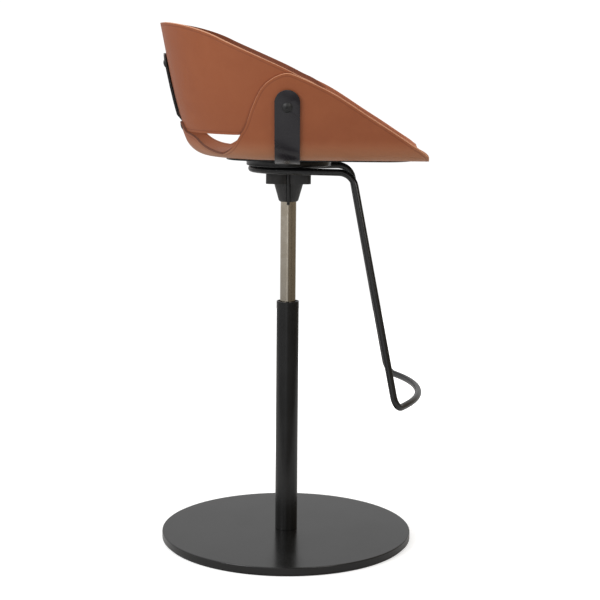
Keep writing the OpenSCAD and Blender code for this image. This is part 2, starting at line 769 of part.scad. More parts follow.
// What is cut away between the wings and the tongue
module rear_cut() {
    intersection() {
        along_y(2 * far) polygon(concat(
            [for (p = wing_rim) if (p.x <= 0) p], [[-far, seat_z + notch_up], [-far, far * 3], [0, far * 3]]
        ));
        along_x(-far, far + cut) union() for (s = [-1, 1]) scale_y(s)
            polygon(concat(tongue_edge, [[far, seat_z + notch_up], [far, far * 3], [0, far * 3]]));
    }
}

// Back shell: the wall alone, higher, with arms that lie inside the wings
arm_end = 62;
back_rim = smooth([for (p = [
    [-244, 230], [-226, 230], [-205, 229], [-170, 222.5], [-132, 210.5], [-95, 193.7], [-15, 158.8], [22, 140.6],
    [42, 131.2], [58, 120.5]
]) [p.x * (p.x > 0 ? 1 : wide), seat_z + p.y * tall]], 2);
arm_edge = smooth(concat([for (p = [
    [58, 120.5], [arm_end, 115], [60, 100], [40, 77], [0, 59], [-50, 46]
]) [p.x * (p.x > 0 ? 1 : wide), max(seat_z + p.y * tall, hem_z + 1)]], [[-90 * wide, hem_z]]), 2);

module back_band() {
    z = concat(low_z, high_z);
    polygon(concat([for (h = z) [back_r(h), h]], back([for (h = z) [back_r(h) - skin, h]])));
}

module back_shell() {
    color([0.6, 0.34, 0.2]) difference() {
        union() {
            rotate_extrude(angle = 180, start = 90) back_band();
            along_x(0, arm_end) union() for (s = [-1, 1]) scale_y(s) back_band();
        }
        along_y(2 * far) polygon(concat(
            back_rim, arm_edge, [[-90, hem_z - far], [far, hem_z - far], [far, far * 3], [-244 * wide, far * 3]]
        ));
        translate([-far, -strap_w / 2 - 1, hem_z - cut]) cube([far, strap_w + 2, notch_top - hem_z + cut]);
        at_side_screws() translate([0, 0, -3 * skin]) cylinder(d = screw_hole_d, h = 4 * skin, $fn = 32);
        at_tongue_screws() translate([0, 0, -3 * skin]) cylinder(d = screw_hole_d, h = 4 * skin, $fn = 32);
        at_rear_screw() translate([0, 0, -2 * skin]) cylinder(d = screw_hole_d, h = 3 * skin, $fn = 32);
    }
}

// The tongue's screws: one at the middle through the strap's tail, and one on each side through the back shell
module at_tongue_screw(turn) {
    on_wall(tongue_screw_z, 180 + turn, seat_r(tongue_screw_z)) children();
}
module at_tongue_screws() {
    for (a = [-tongue_turn, 0, tongue_turn]) at_tongue_screw(a) children();
}

module at_rear_screw() {
    z = seat_z + rear_screw_up;
    on_wall(z, 180, back_r(z)) children();
}

// Rear strap: runs down the back, steps in through the notch and ends behind the tongue
function rear_x(z, off) = -(back_r(z) + off);

module rear_strap() {
    top_z = seat_z + rear_top;
    up_z = back([for (h = concat(low_z, high_z)) if (h > joggle_top + 4 && h < top_z - 4) h]);
    outer = strap_off + strap_t;
    inside = -tail_sag;
    color([0.08, 0.08, 0.08]) difference() {
        intersection() {
            along_y(strap_w) polygon(concat(
                [[rear_x(top_z, outer), top_z]], [for (h = up_z) [rear_x(h, outer), h]],
                [[rear_x(joggle_top, outer), joggle_top], [rear_x(joggle_end, inside), joggle_end]],
                [[rear_x(strap_end, inside), strap_end], [rear_x(strap_end, inside - strap_t), strap_end]],
                [[rear_x(joggle_end, inside - strap_t), joggle_end], [rear_x(joggle_top, strap_off), joggle_top]],
                back([for (h = up_z) [rear_x(h, strap_off), h]]), [[rear_x(top_z, strap_off), top_z]]
            ));
            translate([-far, 0, 0]) along_x(0, far) union() {
                translate([-strap_w / 2, hem_z - far]) square([strap_w, top_z - strap_w / 2 - hem_z + far]);
                translate([0, top_z - strap_w / 2]) circle(d = strap_w);
            }
        }
        at_rear_screw() translate([0, 0, -cut]) cylinder(d = screw_hole_d, h = 3 * strap_t, $fn = 32);
        at_tongue_screw(0) translate([0, 0, -4 * skin]) cylinder(d = screw_hole_d, h = 5 * skin, $fn = 32);
    }
}

module rear_spacer() {
    color([0.2, 0.2, 0.2]) at_rear_screw() translate([0, 0, 0.1]) ring(spacer_d, screw_hole_d, strap_off - 0.25);
}

module rear_screw() {
    color([0.1, 0.1, 0.1]) at_rear_screw() dome_screw(dome_d, dome_h, strap_off + strap_t + 0.1, skin + shank_out);
}

module rear_nut() {
    color([0.12, 0.12, 0.12]) at_rear_screw() wall_nut(skin + touch);
}

module tongue_screws() {
    color([0.1, 0.1, 0.1]) union() {
        for (a = [-tongue_turn, tongue_turn]) at_tongue_screw(a) dome_screw(low_d, low_h, touch / 2, stack + shank_out);
        at_tongue_screw(0) dome_screw(low_d, low_h, touch / 2, tail_stack + shank_out);
    }
}

module tongue_nuts() {
    color([0.12, 0.12, 0.12]) union() {
        for (a = [-tongue_turn, tongue_turn]) at_tongue_screw(a) wall_nut(stack + touch / 2);
        at_tongue_screw(0) wall_nut(tail_stack + touch / 2);
    }
}

glide_pad();
base_disc();
base_screws();
column_foot();
column_tube();
guide_bush();
lower_race();
ball_cage();
bearing_balls();
upper_race();
piston_rod();
rod_clip();
clip_washer();
bump_stop();
piston_head();
piston_nut();
gas_cylinder();
rod_guide();
rod_seal();
hub_casting();
hub_bolts();
lever_pin();
mount_disc();
footrest_rod();
spacers();
side_strap();
seat_plate();
seat_screws();
seat_shell();
back_shell();
rear_strap();
rear_spacer();
rear_screw();
rear_nut();
side_screws();
side_nuts();
tongue_screws();
tongue_nuts();
release_lever();
release_button();
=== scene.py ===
"""Looks of a high swivelling stool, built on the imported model's frame.

All lengths are metres in the model's own frame: +X is the seat's front, -Y the near side in the
photograph and +Z up, with the column on the Z axis and the floor at zero.
"""
import json
import logging
import math
from dataclasses import dataclass, field
from enum import Enum
from typing import Any, Callable, Iterable, Optional, Sequence, Union

import bmesh
import bpy
import numpy as np
from mathutils import Matrix, Vector
from mathutils.kdtree import KDTree


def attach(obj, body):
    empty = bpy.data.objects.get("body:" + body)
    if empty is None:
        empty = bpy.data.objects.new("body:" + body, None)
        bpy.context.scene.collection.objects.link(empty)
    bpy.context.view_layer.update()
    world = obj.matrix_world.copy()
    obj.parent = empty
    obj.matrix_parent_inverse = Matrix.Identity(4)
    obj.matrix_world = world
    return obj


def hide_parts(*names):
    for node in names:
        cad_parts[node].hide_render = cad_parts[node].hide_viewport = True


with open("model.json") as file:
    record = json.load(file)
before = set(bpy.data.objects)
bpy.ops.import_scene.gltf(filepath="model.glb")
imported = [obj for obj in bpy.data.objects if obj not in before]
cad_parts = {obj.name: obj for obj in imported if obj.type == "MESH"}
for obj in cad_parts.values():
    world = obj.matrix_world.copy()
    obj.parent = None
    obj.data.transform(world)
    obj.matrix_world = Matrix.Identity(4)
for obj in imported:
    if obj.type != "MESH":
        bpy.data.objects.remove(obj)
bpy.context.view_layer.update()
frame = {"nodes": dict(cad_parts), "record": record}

LOG = logging.getLogger("stool")
MM = 0.001
# Points closer than this are welded.
WELD = 0.000002
# The attribute rim_mm holds no greater distance than this.
RIM_FAR = 60.0
# The attribute by_wing_mm at the wing's outline, where it places the painted shadow of the wings on the back.
# It falls by one a millimetre, down to zero, which a piece without the attribute reads too.
BY_WING = 60.0
WHITE = (1.0, 1.0, 1.0)

Material = bpy.types.Material
Piece = bpy.types.Object
MeshWork = bmesh.types.BMesh
Edge = bmesh.types.BMEdge
Colour = tuple[float, float, float]
Spot = tuple[float, float, float]
Point = tuple[float, float]


class Side(Enum):
    """The two sides of the seat, by the sign of Y."""

    NEAR = -1.0
    FAR = 1.0


class Run(Enum):
    """The way in which a surface's marks run, as their number per metre along X, Y and Z."""

    AROUND = (30.0, 30.0, 900.0)
    ALONG = (900.0, 900.0, 14.0)
    DOWN = (210.0, 210.0, 24.0)


# Shader arithmetic


class Wire:
    """A shader socket that takes part in sums."""

    def __init__(self, recipe: "Recipe", socket: bpy.types.NodeSocket) -> None:
        """Wraps an output socket of a recipe's tree."""
        self.recipe = recipe
        self.socket = socket

    def __add__(self, other: "Term") -> "Wire":
        """Sum."""
        return self.recipe.sums("ADD", self, other)

    def __radd__(self, other: "Term") -> "Wire":
        """Sum with a number on the left."""
        return self.recipe.sums("ADD", other, self)

    def __sub__(self, other: "Term") -> "Wire":
        """Difference."""
        return self.recipe.sums("SUBTRACT", self, other)

    def __rsub__(self, other: "Term") -> "Wire":
        """Difference from a number on the left."""
        return self.recipe.sums("SUBTRACT", other, self)

    def __mul__(self, other: "Term") -> "Wire":
        """Product."""
        return self.recipe.sums("MULTIPLY", self, other)

    def __rmul__(self, other: "Term") -> "Wire":
        """Product with a number on the left."""
        return self.recipe.sums("MULTIPLY", other, self)


Term = Union[Wire, float]


@dataclass(frozen=True)
class Pattern:
    """Noise in a finish.

    Attributes:
        scale: Features per metre.
        detail: Octaves.
        rough: Share of the fine octaves.
        edge: Noise that counts as 0 and as 1 where the pattern is read as patches.
        warp: How far the noise is distorted.
        run: Which way it runs.
        tint: Share of the other colour where the pattern is 1.
        dulls: What it adds to the roughness there.
        lifts: What it adds to the relief there.
    """

    scale: float
    detail: float
    rough: float
    edge: Optional[Point] = None
    warp: float = 0.0
    run: Optional[Run] = None
    tint: float = 0.0
    dulls: float = 0.0
    lifts: float = 0.0


class Recipe:
    """The node tree of one finish, or of the air around, written as sums of wires."""

    def __init__(self, owner: Union[Material, bpy.types.World], place: str = "Object") -> None:
        """Empties the owner's tree.

        Args:
            owner: The material or world.
            place: The coordinates that its patterns read.
        """
        owner.use_nodes = True
        self.owner = owner
        self.tree = owner.node_tree
        self.tree.nodes.clear()
        self.place = self.node("ShaderNodeTexCoord", out=place)

    @classmethod
    def of(cls, name: str) -> "Recipe":
        """Starts the recipe of a new material."""
        return cls(bpy.data.materials.new(name))

    def node(
        self,
        kind: str,
        settings: Optional[dict[str, Any]] = None,
        inputs: Optional[dict[Union[int, str], Any]] = None,
        out: Union[int, str] = 0,
    ) -> Wire:
        """Makes any node.

        Args:
            kind: The node's type.
            settings: Its own settings, set first.
            inputs: Values or wires, by the socket's name or number.
            out: The output that the wire is taken from.

        Returns:
            The wire of that output.
        """
        made = self.tree.nodes.new(kind)
        for key, value in (settings or {}).items():
            setattr(made, key, value)
        for key, value in (inputs or {}).items():
            if isinstance(value, Wire):
                self.tree.links.new(value.socket, made.inputs[key])
            elif isinstance(value, tuple) and made.inputs[key].type == "RGBA":
                made.inputs[key].default_value = (*value, 1.0)
            else:
                made.inputs[key].default_value = value
        return Wire(self, made.outputs[out])

    def sums(self, operation: str, a: Term, b: Term) -> Wire:
        """One Math node on two terms."""
        return self.node("ShaderNodeMath", {"operation": operation}, {0: a, 1: b})

    def axis(self, letter: str) -> Wire:
        """One axis of the coordinates."""
        return self.node("ShaderNodeSeparateXYZ", None, {0: self.place}, letter)

    def attribute(self, name: str) -> Wire:
        """A number that the mesh carries at its points."""
        return self.node("ShaderNodeAttribute", {"attribute_name": name}, None, "Fac")

    def read(self, pattern: Pattern) -> Wire:
        """A pattern's noise, or its patches where it has an edge.

        Args:
            pattern: The pattern.

        Returns:
            The wire, from 0 to 1.
        """
        at = self.place
        if pattern.run is not None:
            at = self.node("ShaderNodeMapping", None, {"Vector": at, "Scale": Vector(pattern.run.value)})
        noise = self.node("ShaderNodeTexNoise", None, {
            "Vector": at,
            "Scale": pattern.scale,
            "Detail": pattern.detail,
            "Roughness": pattern.rough,
            "Distortion": pattern.warp,
        })
        return noise if pattern.edge is None else self.ramp(noise, *pattern.edge)

    def cells(self, scale: float, feature: str) -> Wire:
        """Distance within cells, of which there are so many per metre, to what the feature names."""
        inputs = {"Vector": self.place, "Scale": scale}
        return self.node("ShaderNodeTexVoronoi", {"feature": feature}, inputs, "Distance")

    def ramp(self, value: Wire, low: float, high: float, to_low: float = 0.0, to_high: float = 1.0) -> Wire:
        """Smooth step from to_low, where the value is low, to to_high, where it is high."""
        inputs = {"Value": value, "From Min": low, "From Max": high, "To Min": to_low, "To Max": to_high}
        return self.node("ShaderNodeMapRange", {"interpolation_type": "SMOOTHSTEP"}, inputs)

    def band(self, value: Wire, rise: Point, fall: Point) -> Wire:
        """Share that rises from 0 to 1 over one range of the value and falls again over another."""
        return self.ramp(value, *rise) * self.ramp(value, *fall, 1.0, 0.0)

    def blend(self, share: Term, a: Union[Wire, Colour], b: Union[Wire, Colour]) -> Wire:
        """Mix of two colours by the second one's share."""
        settings = {"data_type": "RGBA", "blend_type": "MIX", "clamp_factor": True}
        return self.node("ShaderNodeMix", settings, {0: share, 6: a, 7: b}, 2)

    def relief(self, height: Wire, deep: float) -> Wire:
        """Bump from a height, where a height of 1 stands for a depth in metres."""
        return self.node("ShaderNodeBump", None, {"Strength": 1.0, "Distance": deep, "Height": height})

    def finish(self, **sockets: Any) -> Material:
        """Closes the recipe with its surface shader.

        Args:
            **sockets: Values or wires of the shader, with _ for a space in a socket's name.

        Returns:
            The material.
        """
        named = {key.replace("_", " "): value for key, value in sockets.items()}
        surface = self.node("ShaderNodeBsdfPrincipled", None, named)
        self.closed("ShaderNodeOutputMaterial", surface)
        return self.owner

    def closed(self, kind: str, surface: Wire) -> None:
        """Links a surface to the tree's output node, of that kind."""
        self.tree.links.new(surface.socket, self.tree.nodes.new(kind).inputs["Surface"])


# Finishes


@dataclass(frozen=True)
class Finish:
    """A colour under patterns, each of which may blend in the other colour, dull the surface or raise it.

    The depth is what a relief of 1 stands for, in metres.
    """

    name: str
    ground: Colour
    other: Colour
    rough: float
    depth: float
    patterns: tuple[Pattern, ...]
    gloss: float = 0.5
    metallic: float = 0.0

    def mixed(self) -> Material:
        """Writes the finish.

        Returns:
            The material.
        """
        r = Recipe.of(self.name)
        reads = [(pattern, r.read(pattern)) for pattern in self.patterns]
        share, dulled, height = (
            sum(wire * getattr(pattern, part) for pattern, wire in reads if getattr(pattern, part))
            for part in ("tint", "dulls", "lifts")
        )
        return r.finish(
            Base_Color=self.coloured(r, r.blend(share, self.ground, self.other)),
            Metallic=self.metallic,
            Roughness=self.rough + dulled,
            Specular_IOR_Level=self.gloss,
            Normal=r.relief(height, self.depth),
        )

    def coloured(self, r: Recipe, colour: Wire) -> Wire:
        """Last change to the colour, of which there is none here."""
        return colour


@dataclass(frozen=True)
class CutEdge(Finish):
    """Cut and bevelled edge of the leather, dyed lighter, with its fibres. It has painted shade in the
    cut-out.
    """

    name: str = "leather_cut_edge"
    ground: Colour = (0.620, 0.300, 0.170)
    other: Colour = (0.400, 0.160, 0.080)
    rough: float = 0.5
    depth: float = 0.00012
    patterns: tuple[Pattern, ...] = (
        Pattern(1400.0, 4.0, 0.65, (0.3, 0.72), tint=0.4, dulls=0.18, lifts=1.0),
        Pattern(60.0, 3.0, 0.5, (0.3, 0.7), tint=0.25),
    )
    gloss: float = 0.35
    # Darker colour of the edge in the cut-out: painted shade under the back shell.
    cut_out_shade: Colour = (0.130, 0.042, 0.020)
    cut_out_x: Point = (-0.075, -0.045)
    cut_out_z: Point = (0.757, 0.772)

    def coloured(self, r: Recipe, colour: Wire) -> Wire:
        """Paints shade on the edge in the cut-out, where the back shell is above it."""
        low = r.ramp(r.axis("Z"), *self.cut_out_z, 1.0, 0.0)
        return r.blend(r.ramp(r.axis("X"), *self.cut_out_x, 1.0, 0.0) * low, colour, self.cut_out_shade)


def powder(grain: float) -> tuple[Pattern, ...]:
    """Soft haze, pale specks and an orange peel with so many grains per metre."""
    return (
        Pattern(11.0, 4.0, 0.55, (0.3, 0.75), warp=0.3, tint=0.5, dulls=0.06),
        Pattern(grain * 2.2, 2.0, 0.5, (0.62, 0.8), tint=0.35, dulls=0.1),
        Pattern(grain, 2.0, 0.45, lifts=1.0),
    )


@dataclass(frozen=True)
class PowderCoat(Finish):
    """Satin black powder coat over steel: a faint orange peel, soft cloudiness and tiny pale specks."""

    ground: Colour = (0.006, 0.006, 0.006)
    other: Colour = (0.011, 0.011, 0.011)
    rough: float = 0.22
    depth: float = 0.00004
    patterns: tuple[Pattern, ...] = powder(700.0)


@dataclass(frozen=True)
class Casting(Finish):
    """Black painted casting: sand texture under the paint, worn, duller spots and runs of the paint."""

    name: str = "painted_casting"
    ground: Colour = (0.013, 0.0125, 0.0125)
    other: Colour = (0.040, 0.038, 0.037)
    rough: float = 0.38
    depth: float = 0.00014
    patterns: tuple[Pattern, ...] = (
        Pattern(420.0, 4.0, 0.6, lifts=0.7),
        Pattern(46.0, 4.0, 0.6, (0.42, 0.7), tint=0.4, dulls=0.14),
        Pattern(1.0, 3.0, 0.55, (0.45, 0.75), run=Run.DOWN, tint=0.3, dulls=-0.08, lifts=0.3),
    )


def worked(run: Run) -> tuple[Pattern, ...]:
    """Clouds of handling, and working marks that run one way."""
    return (
        Pattern(26.0, 5.0, 0.62, (0.34, 0.72), warp=0.7, tint=0.7, dulls=0.1),
        Pattern(1.0, 4.0, 0.6, run=run, tint=0.25, dulls=0.08, lifts=1.0),
    )


@dataclass(frozen=True)
class WorkedMetal(Finish):
    """Bare or plated metal with the marks of its working, cloudy where it was handled."""

    depth: float = 0.00001
    patterns: tuple[Pattern, ...] = worked(Run.AROUND)
    metallic: float = 1.0


@dataclass(frozen=True)
class Moulded(Finish):
    """Moulded plastic or rubber: an eroded mould texture and a little bloom."""

    depth: float = 0.00004
    patterns: tuple[Pattern, ...] = (
        Pattern(52.0, 4.0, 0.6, (0.35, 0.75), tint=0.5, dulls=0.1),
        Pattern(900.0, 3.0, 0.55, lifts=1.0),
    )
    gloss: float = 0.4


@dataclass(frozen=True)
class SaddleLeather:
    """Grain side of thick saddle leather.

    Clouds of colour lie over a fine closed grain. A creased line follows the cut edges. The bend is painted
    paler, as painted light from the floor's bounce, and the back is painted darker, as a painted shadow,
    where it goes in under the wings. Ranges in millimetres are distances from the cut edge, and the painted
    shadow's from the wing's outline. Those of the bend are heights.
    """

    name: str = "saddle_leather"
    tan: Colour = (0.310, 0.090, 0.033)
    deep: Colour = (0.267, 0.072, 0.0255)
    warm: Colour = (0.342, 0.107, 0.041)
    # Darker tone of the creased line, and of the painted shadow of the wings on the back.
    crease_and_shadow_tone: Colour = (0.150, 0.040, 0.017)
    # Paler colour blended on the bend: painted light from the floor's bounce.
    bend_painted_light: Colour = (0.484, 0.210, 0.104)
    rough: float = 0.47
    gloss: float = 0.34
    depth: float = 0.00011
    cloud: Pattern = Pattern(7.0, 3.0, 0.5, (0.3, 0.7), warp=0.4, tint=0.55)
    patch: Pattern = Pattern(34.0, 4.0, 0.6, (0.32, 0.72), warp=0.6, tint=0.28, dulls=0.07)
    fleck: Pattern = Pattern(620.0, 2.0, 0.5, (0.35, 0.75), tint=0.16, dulls=-0.05)
    swell: Pattern = Pattern(95.0, 3.0, 0.55, lifts=0.5)
    bend_in: Point = (0.6967, 0.6970)
    bend_out: Point = (0.6970, 0.7366)
    bend_light_share: float = 0.9
    crease_in_mm: Point = (3.2, 4.6)
    crease_out_mm: Point = (4.6, 6.0)
    crease_dark: float = 0.5
    crease_dulls: float = 0.1
    crease_down: float = 1.6
    edge_mm: Point = (0.3, 2.4)
    edge_warm: float = 0.45
    # Reach and share of the painted shadow of the wings on the back.
    shadow_mm: Point = (4.5, 0.5)
    shadow_dark: float = 0.6
    pores: float = 1250.0
    pore_size: Point = (0.1, 0.62)
    pores_up: float = 0.45
    folds: float = 520.0
    fold_size: Point = (0.0, 0.22)
    folds_up: float = 0.4

    def mixed(self) -> Material:
        """Writes the finish.

        Returns:
            The material.
        """
        r = Recipe.of(self.name)
        cloud, patch, fleck = r.read(self.cloud), r.read(self.patch), r.read(self.fleck)
        rim, by_wing = r.attribute("rim_mm"), r.attribute("by_wing_mm")
        crease = r.band(rim, self.crease_in_mm, self.crease_out_mm)
        near = r.ramp(rim, *self.edge_mm, 1.0, 0.0)
        # Painted light: the bend is blended paler.
        bend_light = r.band(r.axis("Z"), self.bend_in, self.bend_out)
        # Painted shadow of the wings on the back, darker near the wing's outline.
        shadow = r.ramp(by_wing, *(BY_WING - mm for mm in self.shadow_mm))
        colour: Union[Wire, Colour] = self.tan
        for share, other in (
            (cloud * self.cloud.tint, self.deep),
            (patch * self.patch.tint, self.warm),
            (fleck * self.fleck.tint, self.deep),
            (near * self.edge_warm, self.warm),
            (bend_light * self.bend_light_share, self.bend_painted_light),
            (crease * self.crease_dark, self.crease_and_shadow_tone),
            (shadow * self.shadow_dark, self.crease_and_shadow_tone),
        ):
            colour = r.blend(share, colour, other)
        pores = r.ramp(r.cells(self.pores, "F1"), *self.pore_size)
        folds = r.ramp(r.cells(self.folds, "DISTANCE_TO_EDGE"), *self.fold_size)
        swell = r.read(self.swell) * self.swell.lifts
        height = pores * self.pores_up + folds * self.folds_up + swell - crease * self.crease_down
        dulled = patch * self.patch.dulls + fleck * self.fleck.dulls + crease * self.crease_dulls
        return r.finish(
            Base_Color=colour,
            Roughness=self.rough + dulled,
            Specular_IOR_Level=self.gloss,
            Normal=r.relief(height, self.depth),
        )


def once(finish: Union[Finish, SaddleLeather]) -> Any:
    """Field whose material is written when the set of finishes is made."""
    return field(default_factory=finish.mixed)


@dataclass
class Finishes:
    """Every finish of the stool, written once."""

    leather: Material = once(SaddleLeather())
    cut_edge: Material = once(CutEdge())
    # Paler copy of the leather for the seat's inner face: painted light, its sheen.
    seat_inside_painted_light: Material = once(SaddleLeather(
        "leather_inside_seat_painted_light", (0.37, 0.122, 0.055), (0.32, 0.100, 0.043), (0.40, 0.140, 0.065),
        bend_painted_light=(0.40, 0.140, 0.065),
    ))
    # Darker copy of the leather for the back's inner face: painted shade inside the bucket.
    back_inside_painted_shade: Material = once(SaddleLeather(
        "leather_inside_back_painted_shade", (0.205, 0.056, 0.022), (0.175, 0.046, 0.018), (0.225, 0.066, 0.026),
    ))
    base_coat: Material = once(PowderCoat(
        "base_powder_coat", (0.0035, 0.0035, 0.0035), (0.0045, 0.0045, 0.0045), 0.19, 0.000003,
    ))
    frame_coat: Material = once(PowderCoat("frame_powder_coat"))
    strap_coat: Material = once(PowderCoat(
        "strap_powder_coat", (0.0115, 0.010, 0.013), (0.016, 0.014, 0.0175), 0.24,
    ))
    lever_coat: Material = once(PowderCoat("lever_powder_coat", (0.01, 0.01, 0.01), rough=0.42))
    fastener: Material = once(PowderCoat(
        "black_oxide", (0.009, 0.009, 0.010), rough=0.46, depth=0.00003, patterns=powder(1500.0),
    ))
    casting: Material = once(Casting())
    nickel: Material = once(WorkedMetal(
        "satin_nickel", (0.66, 0.6, 0.505), (0.5, 0.435, 0.345), 0.1, 0.000003, worked(Run.ALONG),
    ))
    chrome: Material = once(WorkedMetal("hard_chrome", (0.74, 0.74, 0.74), (0.6, 0.6, 0.6), 0.12))
    steel: Material = once(WorkedMetal("turned_steel", (0.5, 0.49, 0.48), (0.36, 0.35, 0.34), 0.34))
    zinc: Material = once(WorkedMetal("zinc_plate", (0.6, 0.61, 0.6), (0.42, 0.43, 0.45), 0.38))
    aluminium: Material = once(WorkedMetal("turned_aluminium", (0.72, 0.72, 0.7), (0.56, 0.56, 0.55), 0.3))
    black_plastic: Material = once(Moulded("black_plastic", (0.016, 0.016, 0.016), (0.03, 0.03, 0.03), 0.5))
    nylon: Material = once(Moulded("natural_nylon", (0.72, 0.68, 0.56), (0.62, 0.58, 0.47), 0.5))
    rubber: Material = once(Moulded("rubber", (0.018, 0.018, 0.018), (0.034, 0.033, 0.032), 0.72))


# Mesh work


def object_of(name: str, mesh_work: MeshWork) -> Piece:
    """Turns finished mesh work into an object in the scene.

    Args:
        name: The piece's name.
        mesh_work: The mesh work, which is freed.

    Returns:
        The object, at the origin.
    """
    mesh = bpy.data.meshes.new(name)
    mesh_work.to_mesh(mesh)
    mesh_work.free()
    piece = bpy.data.objects.new(name, mesh)
    bpy.context.scene.collection.objects.link(piece)
    return piece


def smooth(piece: Piece, angle: float) -> None:
    """Shades a piece smooth, but for edges sharper than an angle in degrees."""
    piece.data.shade_smooth()
    piece.data.set_sharp_from_angle(angle=math.radians(angle))


def eased(piece: Piece, width: float, segments: int = 2, angle: float = 35.0, material: int = -1) -> None:
    """Rounds a piece's sharp edges with a Bevel modifier.

    Args:
        piece: The piece.
        width: The rounding's width.
        segments: Its segments.
        angle: Edges sharper than this are rounded, in degrees.
        material: Material slot of the rounding, or -1 for its neighbours'.
    """
    piece.data.shade_smooth()
    bevel = piece.modifiers.new("eased_edges", "BEVEL")
    bevel.width = width
    bevel.segments = segments
    bevel.limit_method = "ANGLE"
    bevel.angle_limit = math.radians(angle)
    bevel.harden_normals = True
    bevel.material = material


def standing_for(piece: Piece, node: str, slot: str, *materials: Material) -> Piece:
    """Puts a piece in its CAD node's place, on the body that carries the node.

    Args:
        piece: The piece.
        node: The node that it stands for.
        slot: The record's material slot; not used.
        *materials: The piece's materials.

    Returns:
        The piece.
    """
    for material in materials:
        piece.data.materials.append(material)
    body = next(b for b, nodes in frame["record"]["behaviour"]["bodies"].items() if node in nodes)
    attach(piece, body)
    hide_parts(node)
    LOG.info("%s stands for %s on %s", piece.name, node, body)
    return piece


def turned(name: str, outline: Sequence[Point], rounding: float, steps: int) -> Piece:
    """Turns a solid from its half section, with its corners rounded.

    Every long edge gets a point a little past the rounding at each end, so that its face stays flat when
    shaded smooth.

    Args:
        name: The piece's name.
        outline: Radius and height of the section's corners, in order. A section that starts on the axis is
            left open there, and any other is closed.
        rounding: Rounding of the corners off the axis.
        steps: Steps of the turn.

    Returns:
        The piece.
    """
    past, long_edge = 1.5 * rounding, 6 * rounding
    work = bmesh.new()
    corners = [work.verts.new((r, 0.0, z)) for r, z in outline]
    for a, b in zip(corners, corners[1:]):
        work.edges.new((a, b))
    if outline[0][0] > 0.0:
        work.edges.new((corners[-1], corners[0]))
    ends = [v for v in corners if v.co.x > 0.0 and len(v.link_edges) == 2]
    bmesh.ops.bevel(work, geom=ends, offset=rounding, segments=3, profile=0.5, affect="VERTICES", material=-1)
    for edge in [e for e in work.edges if e.calc_length() > long_edge]:
        share, tip = past / edge.calc_length(), edge.verts[1]
        rest = bmesh.utils.edge_split(edge, edge.verts[0], share)[0]
        bmesh.utils.edge_split(rest if tip in rest.verts else edge, tip, share / (1 - share))
    bmesh.ops.spin(
        work, geom=work.verts[:] + work.edges[:], cent=(0, 0, 0), axis=(0, 0, 1), angle=math.tau, steps=steps,
        use_merge=True,
    )
    bmesh.ops.remove_doubles(work, verts=work.verts, dist=WELD)
    bmesh.ops.recalc_face_normals(work, faces=work.faces)
    piece = object_of(name, work)
    smooth(piece, angle=30.0)
    return piece


def facing(work: MeshWork, spot: Vector, way: Vector) -> None:
    """Turns a sheet's faces over where the one nearest to a spot faces away.

    Args:
        work: The sheet's mesh work.
        spot: The spot.
        way: The way that the faces there have to face.
    """
    nearest = min(work.faces, key=lambda f: (f.calc_center_median() - spot).length)
    if nearest.normal.dot(way) < 0.0:
        bmesh.ops.reverse_faces(work, faces=work.faces)


def search_tree(spots: Sequence[Sequence[float]]) -> KDTree:
    """Sorts spots for searching.

    Args:
        spots: The spots.

    Returns:
        A tree that finds the nearest of them.
    """
    tree = KDTree(len(spots))
    for i, spot in enumerate(spots):
        tree.insert(spot, i)
    tree.balance()
    return tree


# Curves


def curve_through(stations: Sequence[Point], steps: int) -> list[Point]:
    """Smooth curve through stations, as the CAD's outlines are drawn.

    Args:
        stations: The stations.
        steps: Steps between neighbours.

    Returns:
        Points on the curve.
    """
    points = [Vector(s) for s in stations]
    last = len(points) - 1
    made = []
    for i in range(last):
        a, b, c, d = points[max(i - 1, 0)], points[i], points[i + 1], points[min(i + 2, last)]
        for k in range(steps):
            t = k / steps
            p = 0.5 * (
                2 * b + (c - a) * t + (2 * a - 5 * b + 4 * c - d) * t * t + (3 * b - a - 3 * c + d) * t ** 3
            )
            made.append((p.x, p.y))
    return made + [tuple(points[-1])]


def reader(stations: Iterable[Point]) -> Callable[[float], float]:
    """Reads a curve's second value from its first.

    Args:
        stations: Points whose first values rise or fall all the way.

    Returns:
        The reading function.
    """
    ordered = sorted(stations)
    across, up = [p[0] for p in ordered], [p[1] for p in ordered]
    return lambda value: float(np.interp(value, across, up))


def solved(gap: Callable[[float], float], low: float, high: float) -> float:
    """Finds where a rising function crosses zero.

    Args:
        gap: The function.
        low: Lower end of the search.
        high: Upper end.

    Returns:
        The crossing, or the nearer end where there is none.
    """
    if gap(low) >= 0.0:
        return low
    if gap(high) <= 0.0:
        return high
    for _ in range(48):
        middle = (low + high) / 2
        low, high = (middle, high) if gap(middle) < 0.0 else (low, middle)
    return (low + high) / 2


def lengths(line: Sequence[Sequence[float]]) -> np.ndarray:
    """Length along a line of points, at each of them."""
    steps = np.linalg.norm(np.diff(np.array(line), axis=0), axis=1)
    return np.concatenate([[0.0], np.cumsum(steps)])


def spaced(
    j: int, rows: int, start: float, end: float, off_edge: Sequence[float], span: float = 1.0
) -> float:
    """Place of a row across a sheet: even steps first, and then set distances from the cut edge.

    Args:
        j: The row's number.
        rows: The last row's number.
        start: Place of row 0.
        end: Place of the cut edge.
        off_edge: Distances of the last rows from the cut edge in millimetres, counted from the edge.
        span: What those distances are multiplied by where the sheet is narrow.

    Returns:
        The place.
    """
    if rows - j < len(off_edge):
        return end - off_edge[rows - j] * MM * span
    reach = end - off_edge[-1] * MM * span
    return start + (reach - start) * j / (rows - len(off_edge) + 1)


# The stool's sub-assemblies


